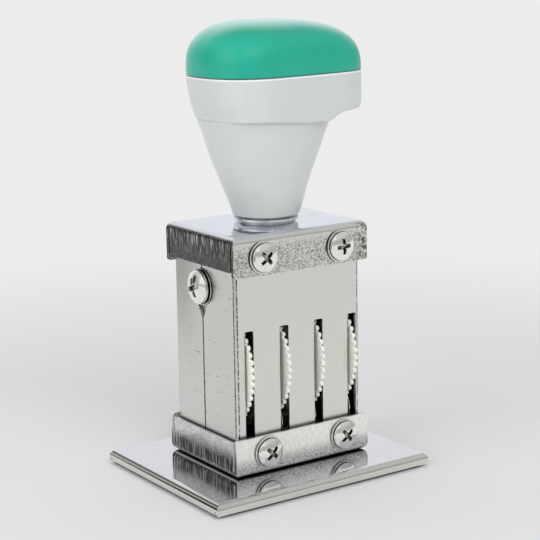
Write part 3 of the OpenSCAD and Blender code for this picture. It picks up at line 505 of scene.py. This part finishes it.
def die_rubber():
    s = Surface("die_rubber", IOR=1.5)
    mottle = s.noise(1.2, 4)
    return s.set(
        Base_Color=s.mix(mottle, grey(0.070), (0.115, 0.115, 0.112)),
        Roughness=s.span(s.noise(0.7, 3), 0.5, 0.7),
        Normal=s.bump(s.noise(0.12, 3), 0.02),
    )


def foam():
    s = Surface("foam", IOR=1.45)
    pores = s.cells(0.35)
    return s.set(
        Base_Color=s.mix(pores, grey(0.05), grey(0.16)),
        Roughness=s.span(pores, 0.8, 0.95),
        Normal=s.bump(pores, 0.1),
    )


def spring_wire():
    s = Surface("spring_wire", Metallic=1.0)
    return s.set(
        Base_Color=s.mix(s.noise(0.6, 3), (0.60, 0.60, 0.58), (0.78, 0.78, 0.76)),
        Roughness=s.span(s.noise(0.5, 2), 0.16, 0.28),
        Normal=s.bump(s.noise((0.4, 0.4, 0.05), 2), 0.004),
    )


# The look of each of the record's slots, and of the three folded sheets that share one
LOOKS = {
    "cap_plastic": cap_plastic(),
    "handle_plastic": handle_plastic(),
    "insert_brass": brass(),
    "zinc_steel": zinc_steel(),
    "polished_nickel": polished_nickel(),
    "satin_sheet": satin_sheet(),
    "screw_nickel": bright_nickel(),
    "wheel_plastic": wheel_plastic(),
    "band_rubber": band_rubber(),
    "die_rubber": die_rubber(),
    "foam": foam(),
    "spring_wire": spring_wire(),
    "top_pan": top_pan_sheet(),
    "bottom_pan": bottom_pan_sheet(),
    "base_plate": base_plate_sheet(),
}
# Painted highlight for the rounded edges of the sheets
EDGE = painted_edge_highlight()
SLOT_OF = {p["node"]: p["material_slot"] for p in frame["record"]["subparts"]}
BODY_OF = {n: b for b, nodes in frame["record"]["behaviour"]["bodies"].items() for n in nodes}


def look(node):
    return LOOKS.get(node) or LOOKS[SLOT_OF[node]]


def piece(name, mesh, node, *others):
    """A new piece that stands for a node, on the node's body and with its look; the node is hidden."""
    mesh.materials.clear()
    for material in (look(node), *others):
        mesh.materials.append(material)
    found = bpy.data.objects.new(name, mesh)
    bpy.context.scene.collection.objects.link(found)
    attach(found, BODY_OF[node])
    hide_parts(node)
    return found


# Dressing: places closer than this are one, in millimetres, and angles are in degrees
MERGE = 0.002
FLAT_ANGLE = 0.6
ROUND_ANGLE = 35
DRESSED_SHARP = 40
SKIN_SHARP = 32


def finished(bm, name, sharp):
    """A mesh with smooth faces, whose edges over the sharp angle, in degrees, stay sharp."""
    for face in bm.faces:
        face.smooth = True
    for edge in bm.edges:
        edge.smooth = not (len(edge.link_faces) == 2 and edge.calc_face_angle(0) > math.radians(sharp))
    mesh = bpy.data.meshes.new(name)
    bm.to_mesh(mesh)
    bm.free()
    return mesh


def dressed(node, round_mm, bright=False, form=None):
    """The node's own shape with its sharp edges rounded, as pressing, moulding and plating leave them.
    The rounds carry a painted highlight line if asked, and form is a call that moves points before the
    rounding."""
    bm = bmesh.new()
    bm.from_mesh(frame["nodes"][node].data)
    bmesh.ops.remove_doubles(bm, verts=bm.verts, dist=MERGE * MM)
    if form:
        form(bm)
    bmesh.ops.dissolve_limit(bm, angle_limit=math.radians(FLAT_ANGLE), verts=bm.verts, edges=bm.edges)
    least = math.radians(ROUND_ANGLE)
    edges = [e for e in bm.edges if len(e.link_faces) == 2 and e.calc_face_angle(0) > least]
    rounds = bmesh.ops.bevel(
        bm, geom=edges, offset=round_mm * MM, offset_type="OFFSET", segments=2, profile=0.5,
        affect="EDGES", clamp_overlap=False, harden_normals=False,
    )
    # Painted highlight on the rounds
    if bright:
        for face in rounds["faces"]:
            face.material_index = 1
    mesh = finished(bm, node + "_look", DRESSED_SHARP)
    found = piece(node + "_dressed", mesh, node, *([EDGE] if bright else []))
    flats = found.modifiers.new("flats_stay_flat", "WEIGHTED_NORMAL")
    flats.weight = 100
    flats.keep_sharp = True
    return found


# Camera at the photograph's viewing angle, measured from the box's axis and the plate's top
AZIMUTH = math.radians(-34.42)
ELEVATION = math.radians(12.01)
ROLL = math.radians(-0.90)
DISTANCE = 443.16 * MM
AIM_SIDE = 0.91 * MM
AIM_HEIGHT = 52.64 * MM
LENS = 104.98
SENSOR = 36.0


def camera():
    flat = math.cos(ELEVATION)
    back = Vector((math.sin(AZIMUTH) * flat, -math.cos(AZIMUTH) * flat, math.sin(ELEVATION)))
    right = Vector((math.cos(AZIMUTH), math.sin(AZIMUTH), 0))
    up = back.cross(right)
    x = math.cos(ROLL) * right + math.sin(ROLL) * up
    y = -math.sin(ROLL) * right + math.cos(ROLL) * up
    place = Vector((BOX_X, BOX_Y, plate_top + AIM_HEIGHT)) + right * AIM_SIDE + back * DISTANCE
    data = bpy.data.cameras.new("camera")
    data.lens = LENS
    data.sensor_width = SENSOR
    data.clip_start = 0.01
    found = bpy.data.objects.new("camera", data)
    found.matrix_world = Matrix.Translation(place) @ Matrix((x, y, back)).transposed().to_4x4()
    bpy.context.scene.collection.objects.link(found)
    bpy.context.scene.camera = found


camera()

# Handle and cap, as superellipse rings about the box's axis, in millimetres
FOOT_R = 9.4
FOOT_ROUND = 0.5
NECK_H = 27.15
NECK_ROWS = 60
RIM_LEFT = 21.0
RIM_RIGHT = 28.0
RIM_HALF = 15.6
RIM_MID = -3.0
RIM_H = 11.7
RIM_ROWS = 20
RIM_LEAN = 2.7
RIM_TAPER = 0.006
RIM_ROUND = 0.35
RIM_LEFT_POWER = 2.5
RIM_RIGHT_POWER = 5
LIP_IN = 0.1
LIP_ROUND = (0.3, 1.1, 0.35)
LIP_ROUND_H = 0.9
CREASE_H = 0.2
CREASE_STEP = 1.1
CREASE_DIP = 1.2
CREASE_DIP_START = -12
CREASE_DIP_LENGTH = 20
CREASE_ROWS = 8
NOSE_REACH = 7.6
NOSE_RISE = 2.4
NOSE_START = 12.5
NOSE_RAMP = 3.2
NOSE_POWER = 1.4
CAP_EDGE = 1.7
CAP_ROUND = 0.45
CAP_ROUND_H = 0.5
DOME_POWER = 2.75
DOME_SOFTER = 2.2
DOME_ROWS = 56
AROUND = 160
FOOT_Z = handle_low.z / MM
RIM_TOP = handle_high.z / MM
CAP_TOP = cap_top / MM

# A ring's height, its reach to the left, to the right and in depth, the powers of its two ends, its share
# of the crease's lift, and where its ends meet
Ring = namedtuple("Ring", "z left right half left_power right_power share mid")


def smooth(t):
    t = max(0.0, min(1.0, t))
    return t * t * (3 - 2 * t)


def crease_lift(x):
    """The crease dips in front of the nose and rises steeply under it."""
    nose = 0
    if x > NOSE_START:
        nose = NOSE_RISE * (1 - math.exp(-(((x - NOSE_START) / NOSE_RAMP) ** NOSE_POWER)))
    return nose - CREASE_DIP * smooth((x - CREASE_DIP_START) / CREASE_DIP_LENGTH)


def around(ring):
    """Points round a ring."""
    taper = RIM_TAPER * max(0, ring.half - FOOT_R) / (RIM_HALF - FOOT_R)
    points = []
    for k in range(AROUND):
        a = 2 * math.pi * k / AROUND
        if math.cos(a) > 0:
            reach, n = ring.right - ring.mid, ring.right_power
        else:
            reach, n = ring.left + ring.mid, ring.left_power
        d = (abs(math.cos(a) / reach) ** n + abs(math.sin(a) / ring.half) ** n) ** (-1 / n)
        x = ring.mid + d * math.cos(a)
        y = d * math.sin(a) * (1 - taper * (x - ring.mid))
        points.append(Vector((x, y, ring.z + ring.share * crease_lift(x))))
    return points


def skin_mesh(name, rows):
    """A closed mesh through rows of as many points each, from below to above."""
    bm = bmesh.new()
    rows = [
        [bm.verts.new((BOX_X + p.x * MM, BOX_Y + p.y * MM, p.z * MM)) for p in points] for points in rows
    ]
    for low, high in zip(rows, rows[1:]):
        for k in range(len(low)):
            m = (k + 1) % len(low)
            bm.faces.new((low[k], low[m], high[m], high[k]))
    bm.faces.new(rows[0][::-1])
    bm.faces.new(rows[-1])
    return finished(bm, name, SKIN_SHARP)


def spline(knots, at):
    """Value of a monotone cubic through (x, y) knots."""
    xs, ys = zip(*knots)
    slopes = [(ys[i + 1] - ys[i]) / (xs[i + 1] - xs[i]) for i in range(len(xs) - 1)]
    turns = [slopes[0]]
    for a, b in zip(slopes, slopes[1:]):
        turns.append(0 if a * b <= 0 else 2 * a * b / (a + b))
    turns.append(slopes[-1])
    i = max(j for j in range(len(slopes)) if at >= xs[j] - 1e-9)
    h = xs[i + 1] - xs[i]
    t = (at - xs[i]) / h
    return (
        ys[i] * (1 + 2 * t) * (1 - t) ** 2 + turns[i] * h * t * (1 - t) ** 2
        + ys[i + 1] * t * t * (3 - 2 * t) + turns[i + 1] * h * t * t * (t - 1)
    )


def between(rings, count):
    """Rings along a smooth path through the given ones, which are sorted by height."""
    low, high = rings[0].z, rings[-1].z
    found = []
    for j in range(count + 1):
        z = low + (high - low) * j / count
        rest = [spline([(r.z, r[i]) for r in rings], z) for i in range(1, len(Ring._fields))]
        found.append(Ring(z, *rest))
    return found


def rounded(ring, inward, height, up, steps=6):
    """Rings of a rounded edge. Inward is its width to the left, to the right and in depth, height its
    height. It opens upwards from below if up is true, and closes upwards otherwise."""
    found = []
    for j in range(steps + 1):
        t = math.pi / 2 * (j / steps if up else 1 - j / steps)
        less = 1 - math.sin(t)
        rise = height * (1 - math.cos(t)) if up else height * math.cos(t)
        found.append(ring._replace(
            z=ring.z + rise, left=ring.left - inward[0] * less, right=ring.right - inward[1] * less,
            half=ring.half - inward[2] * less,
        ))
    return found


def neck_ring(up, left, right, half, left_power, right_power, share, mid):
    """A ring at a share of the neck's height, and at shares of the way from the foot's reach to that of
    the rim."""
    return Ring(
        up * NECK_H, FOOT_R + left * (RIM_LEFT - FOOT_R), FOOT_R + right * (RIM_RIGHT - FOOT_R),
        FOOT_R + half * (RIM_HALF - FOOT_R), left_power, right_power, share, mid,
    )


def rim_ring(z, lean, share):
    """A ring of the rim's outline that stands back by lean on the left."""
    return Ring(z, RIM_LEFT - lean, RIM_RIGHT, RIM_HALF, RIM_LEFT_POWER, RIM_RIGHT_POWER, share, RIM_MID)


def handle():
    foot = Ring(0, FOOT_R, FOOT_R, FOOT_R, 2, 2, 0, 0)
    neck = rounded(foot, (FOOT_ROUND,) * 3, FOOT_ROUND, True)
    neck += between([
        foot._replace(z=FOOT_ROUND),
        Ring(2.2, FOOT_R + 0.5, FOOT_R + 0.8, FOOT_R + 0.5, 2, 2, 0, 0),
        neck_ring(0.35, 0.29, 0.16, 0.36, 2.05, 2.1, 0, -0.4),
        neck_ring(0.655, 0.56, 0.35, 0.6, 2.15, 2.3, 0, -1.2),
        neck_ring(0.89, 0.7, 0.5, 0.74, 2.3, 2.5, 0.3, -2.2),
        Ring(
            z=NECK_H - CREASE_H, left=RIM_LEFT - RIM_LEAN, right=RIM_RIGHT - NOSE_REACH,
            half=RIM_HALF - CREASE_STEP, left_power=2.4, right_power=2.7, share=0.9, mid=RIM_MID,
        ),
    ], NECK_ROWS)[1:]
    lip = Ring(
        z=NECK_H, left=RIM_LEFT - RIM_LEAN, right=RIM_RIGHT - LIP_IN, half=RIM_HALF - LIP_IN,
        left_power=RIM_LEFT_POWER, right_power=4.8, share=1, mid=RIM_MID,
    )
    rim = rounded(lip, LIP_ROUND, LIP_ROUND_H, True, 8)
    rim += between([
        rim[-1],
        rim_ring(NECK_H + 0.35 * RIM_H, 1.5, 0.7),
        rim_ring(NECK_H + 0.65 * RIM_H, 0.7, 0.35),
        rim_ring(NECK_H + RIM_H - RIM_ROUND, 0, 0),
    ], RIM_ROWS)[1:]
    brim = rim[-1]._replace(z=NECK_H + RIM_H - RIM_ROUND)
    rim += rounded(brim, (RIM_ROUND,) * 3, RIM_ROUND, False, 5)[1:]
    below = [around(ring) for ring in neck]
    above = [around(ring) for ring in rim]
    crease = [
        [a.lerp(b, j / CREASE_ROWS) for a, b in zip(below[-1], above[0])] for j in range(1, CREASE_ROWS)
    ]
    rows = [[p + Vector((0, 0, FOOT_Z)) for p in points] for points in below + crease + above]
    return piece("handle", skin_mesh("handle", rows), "handle_body")


def cap():
    rings = rounded(rim_ring(RIM_TOP, 0, 0), (CAP_ROUND,) * 3, CAP_ROUND_H, True)
    base = RIM_TOP + CAP_EDGE
    for j in range(DOME_ROWS):
        a = math.pi / 2 * j / DOME_ROWS
        out = math.cos(a) ** (2 / DOME_POWER)
        up = math.sin(a) ** (2 / DOME_POWER)
        rings.append(Ring(
            z=base + (CAP_TOP - base) * up, left=(RIM_LEFT + RIM_MID) * out - RIM_MID,
            right=(RIM_RIGHT - RIM_MID) * out + RIM_MID, half=RIM_HALF * out, left_power=RIM_LEFT_POWER,
            right_power=RIM_RIGHT_POWER - DOME_SOFTER * up, share=0, mid=RIM_MID,
        ))
    return piece("cap", skin_mesh("cap", [around(ring) for ring in rings]), "grip_cap")


handle()
cap()

# Pan-head screws, in millimetres. The lengths and shanks are the CAD model's. The cross's sizes are for a
# head of HEAD_R, and grow with the head. The steps go round the head's rim: how far in, and how far down
# from the rim's top or up from the seat
HEAD_R = 4.0
HEAD_RIM = 0.6
HEAD_DOME = 1.15
SHANK_R = 2.0
SHANK_LENGTH = 7.6
SIDE_RIM = 0.9
SIDE_DOME = 1.6
SIDE_SHANK_R = 2.5
SIDE_LENGTH = 10.0
CROSS_ARM = 2.25
CROSS_W = 1.3
CROSS_END_W = 0.95
CROSS_HUB = 0.95
CROSS_DEEP = 1.7
CROSS_WALL = 0.15
CROSS_SLOPE = 0.45
CROSS_ZONE = 1.25
CROSS_ROWS = 30
EDGE_ROWS = 6
DOME_IN = 0.12
TOP_STEPS = ((0.03, 0.02), (0, 0.14))
SEAT_STEPS = ((0, 0.16), (0.05, 0.05), (0.16, 0))
SHANK_CHAMFER = 0.4
HEAD_AROUND = 120


def cross_depth(x, y, size):
    """How deep a cross recess is at a place on a head, for a head size times HEAD_R."""
    x, y = abs(x) / size, abs(y) / size
    gaps = [math.hypot(x, y) - CROSS_HUB]
    for along, across in ((x, y), (y, x)):
        width = CROSS_W + (CROSS_END_W - CROSS_W) * min(1, along / CROSS_ARM)
        gaps.append(max(across - width / 2, along - CROSS_ARM))
    wall = smooth(-min(gaps) / CROSS_WALL)
    return size * wall * (CROSS_DEEP - CROSS_SLOPE * math.hypot(x, y))


def pan_screw(bm, seat, out, side, turn, head, rim, dome, shank, length):
    """Adds a screw whose head rests at seat and looks along out, with its cross turned from side."""
    third = out.cross(side)
    bulge = (head * head + dome * dome) / (2 * dome)
    reach = CROSS_ZONE * CROSS_ARM * head / HEAD_R
    radii = [reach * j / CROSS_ROWS for j in range(1, CROSS_ROWS + 1)]
    radii += [reach + (head - DOME_IN - reach) * j / EDGE_ROWS for j in range(1, EDGE_ROWS + 1)]
    rings = [(r, rim + dome - bulge + math.sqrt(bulge * bulge - r * r), True) for r in radii]
    rings += [(head - inward, rim - down, False) for inward, down in TOP_STEPS]
    rings += [(head - inward, up, False) for inward, up in SEAT_STEPS]
    rings += [(shank, 0, False), (shank, SHANK_CHAMFER - length, False)]
    rings += [(shank - SHANK_CHAMFER, -length, False)]

    def vertex(r, z, cut, angle):
        x, y = r * math.cos(angle), r * math.sin(angle)
        if cut:
            z -= cross_depth(x, y, head / HEAD_R)
        x, y = x * math.cos(turn) - y * math.sin(turn), x * math.sin(turn) + y * math.cos(turn)
        return bm.verts.new(seat + (side * x + third * y + out * z) * MM)

    angles = [2 * math.pi * k / HEAD_AROUND for k in range(HEAD_AROUND)]
    rows = [[vertex(r, z, cut, angle) for angle in angles] for r, z, cut in rings]
    top = vertex(0, rim + dome, True, 0)
    for k in range(HEAD_AROUND):
        m = (k + 1) % HEAD_AROUND
        bm.faces.new((top, rows[0][k], rows[0][m]))
        for inner, outer in zip(rows, rows[1:]):
            bm.faces.new((inner[k], outer[k], outer[m], inner[m]))
    bm.faces.new(rows[-1][::-1])


def screws(node, seats, head, rim, dome, shank, length):
    """The node's screws as one piece. Each seat is a place, a direction out of the face, one along the
    head and a turn in degrees."""
    bm = bmesh.new()
    for place, out, side, turn in seats:
        pan_screw(
            bm, Vector(place), Vector(out), Vector(side), math.radians(turn), head, rim, dome, shank, length
        )
    return piece(node + "_heads", finished(bm, node + "_look", SKIN_SHARP), node)


def case_screws(node, washers, turns):
    low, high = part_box(washers)
    r = (high.z - low.z) / 2
    head_low, head_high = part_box(node)
    z = (low.z + high.z) / 2
    places = [(x, y) for y in (low.y, high.y) for x in (low.x + r, high.x - r)]
    seats = [
        ((x, y, z), (0, -1 if y == low.y else 1, 0), (1, 0, 0), turn) for (x, y), turn in zip(places, turns)
    ]
    head = (head_high.z - head_low.z) / 2 / MM
    return screws(node, seats, head, HEAD_RIM, HEAD_DOME, SHANK_R, SHANK_LENGTH)


def side_screws(turns):
    low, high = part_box("side_lock_washers")
    head_low, head_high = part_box("side_screws")
    y, z = (head_low.y + head_high.y) / 2, (head_low.z + head_high.z) / 2
    seats = [
        ((x, y, z), (out, 0, 0), (0, 0, 1), turn) for x, out, turn in zip((low.x, high.x), (-1, 1), turns)
    ]
    head = (head_high.z - head_low.z) / 2 / MM
    return screws("side_screws", seats, head, SIDE_RIM, SIDE_DOME, SIDE_SHANK_R, SIDE_LENGTH)


case_screws("top_screws", "top_washers", (41, 4, 35, 70))
case_screws("bottom_screws", "bottom_washers", (47, 40, 55, 20))
side_screws((20, 65))

# The drawn share of the teeth's depth, and how far in from their tips they are moved, in millimetres
TOOTH_SHARE = 0.62
TOOTH_ZONE = 1.75

# Rounds of the pieces' own edges, in millimetres
SHEET_ROUND = 0.15
WASHER_ROUND = 0.12
TOOTH_ROUND = 0.08
COLLAR_ROUND = 0.1
DIE_ROUND = 0.12


def lower_teeth(wheel):
    """A call that lowers a wheel's teeth to the depth that moulded ones have."""
    low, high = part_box(wheel)
    middle = Vector((0, (low.y + high.y) / 2, (low.z + high.z) / 2))
    outside = (high.z - low.z) / 2

    def form(bm):
        for vert in bm.verts:
            away = Vector((0, vert.co.y, vert.co.z)) - middle
            r = away.length
            if r > outside - TOOTH_ZONE * MM:
                away *= (outside - (outside - r) * TOOTH_SHARE) / r - 1
                vert.co.y += away.y
                vert.co.z += away.z
    return form


for node in ("top_pan", "bottom_pan", "base_plate", "front_shell", "rear_shell"):
    dressed(node, SHEET_ROUND, bright=True)
for node in ("top_washers", "bottom_washers", "side_washers", "side_lock_washers"):
    dressed(node, WASHER_ROUND)
for node in ("thumb_wheel_1", "thumb_wheel_2", "thumb_wheel_3", "thumb_wheel_4"):
    dressed(node, TOOTH_ROUND, form=lower_teeth(node))
dressed("collar", COLLAR_ROUND)
dressed("stamp_die", DIE_ROUND)

# Every node that still shows has its slot's look
for name, node in frame["nodes"].items():
    node.data.materials.clear()
    node.data.materials.append(look(name))


# Stage, in metres and radians: a pale floor and surround, whose paleness is what the camera and mirrors
# see and not more light. The floor turns pale over a range, nearer in mirrors than to the camera
PALE = grey(0.84)
BLACK = grey(0.02)
FLOOR_REACH = 4.0
PALE_IN_MIRRORS = (0.02, 0.07)
PALE_TO_CAMERA = (0.10, 0.34)
VIEWER_TURN = (-2.72, -2.36)
VIEWER_AWAY = (0.15, 0.25)
LIT_PLACE = Vector((0, 0, 0.06))


def seen(nodes):
    """1 for what the camera, mirrors and glass see, and 0 for light."""
    return nodes.most(*(nodes.path(f"Is {kind} Ray") for kind in ("Camera", "Glossy", "Transmission")))


def viewer(nodes, turn):
    """1 in the direction of whoever looks at the object, who is dark in mirrors."""
    return nodes.band(turn, *VIEWER_TURN, 0.05)


def ground():
    """A floor that shows no edge, and still takes the object's shadow."""
    corners = [(x * FLOOR_REACH, y * FLOOR_REACH, 0) for x, y in ((-1, -1), (1, -1), (1, 1), (-1, 1))]
    mesh = bpy.data.meshes.new("floor")
    mesh.from_pydata(corners, [], [(0, 1, 2, 3)])
    s = Surface("floor", Roughness=0.9)
    s.set(Base_Color=s.mix(s.noise(40, 2), grey(0.78), grey(0.80)))
    away = s.tree.nodes.new("ShaderNodeVectorMath")
    away.operation = "LENGTH"
    s.put(away, 0, s.place)
    far = away.outputs["Value"]
    camera_ray = s.path("Is Camera Ray")
    share = s.mix(camera_ray, s.ramp(far, *PALE_IN_MIRRORS), s.ramp(far, *PALE_TO_CAMERA))
    turn = s.math("ARCTAN2", s.axis("X"), s.axis("Y"))
    person = s.times(viewer(s, turn), s.ramp(far, *VIEWER_AWAY), s.rest(camera_ray))
    shown = s.glow("ShaderNodeEmission", s.mix(person, PALE, BLACK))
    shader = s.blend(s.times(share, seen(s)), s.shader.outputs["BSDF"], shown)
    s.tree.links.new(shader, s.output.inputs["Surface"])
    mesh.materials.append(s.material)
    found = bpy.data.objects.new("floor", mesh)
    bpy.context.scene.collection.objects.link(found)


def lamp(name, place, size, watts):
    data = bpy.data.lights.new(name, "AREA")
    data.shape = "RECTANGLE"
    data.size, data.size_y = size
    data.energy = watts
    found = bpy.data.objects.new(name, data)
    found.location = place
    found.rotation_euler = (LIT_PLACE - Vector(place)).to_track_quat("-Z", "Y").to_euler()
    found.visible_glossy = False
    bpy.context.scene.collection.objects.link(found)


def world():
    """Even light from a surround that looks pale. Mirrors see a large soft box behind the object, a smaller
    one at the front and one at the left, and a dimmer room with a dark doorway between them. Angles are in
    radians."""
    found = bpy.data.worlds.new("surround")
    bpy.context.scene.world = found
    found.use_nodes = True
    n = Nodes(found.node_tree)
    way = n.tree.nodes.new("ShaderNodeTexCoord").outputs["Generated"]
    up = n.axis("Z", way)
    turn = n.math("ARCTAN2", n.axis("X", way), n.axis("Y", way))
    back_box = n.times(n.band(turn, -0.42, 0.95, 0.12), n.rest(n.ramp(up, 0.78, 0.86)))
    front_box = n.times(n.band(turn, -3.12, -2.74, 0.05), n.band(up, 0.34, 0.82, 0.04))
    left_box = n.times(n.band(turn, -2.0, -1.3, 0.1), n.band(up, 0.15, 0.75, 0.08))
    person = n.times(viewer(n, turn), n.rest(n.ramp(up, 0.0, 0.04)))
    room = n.mix(n.ramp(up, 0.20, 0.50), grey(0.46), (0.66, 0.66, 0.67))
    room = n.mix(n.ramp(up, 0.75, 0.95), room, (0.48, 0.48, 0.49))
    mirror = n.mix(back_box, room, (0.88, 0.89, 0.92))
    mirror = n.mix(n.most(front_box, left_box), mirror, grey(1.0))
    doorway = n.times(n.band(turn, -0.92, -0.58, 0.04), n.rest(n.ramp(up, 0.32, 0.40)))
    mirror = n.mix(n.most(person, doorway), mirror, grey(0.03))
    light = n.glow("ShaderNodeBackground", (0.97, 0.98, 1.0), 0.5)
    backdrop = n.glow("ShaderNodeBackground", PALE)
    sight = n.blend(n.path("Is Camera Ray"), n.glow("ShaderNodeBackground", mirror), backdrop)
    output = n.tree.nodes.new("ShaderNodeOutputWorld")
    n.tree.links.new(n.blend(seen(n), light, sight), output.inputs["Surface"])


ground()
world()
lamp("key", (-0.15, -0.9, 0.75), (0.9, 0.7), 5.2)
lamp("fill", (-0.95, -0.1, 0.5), (0.8, 0.6), 3.2)
lamp("top", (0.1, 0.25, 1.1), (1.0, 0.8), 2.5)
bpy.context.scene.view_settings.view_transform = "Standard"
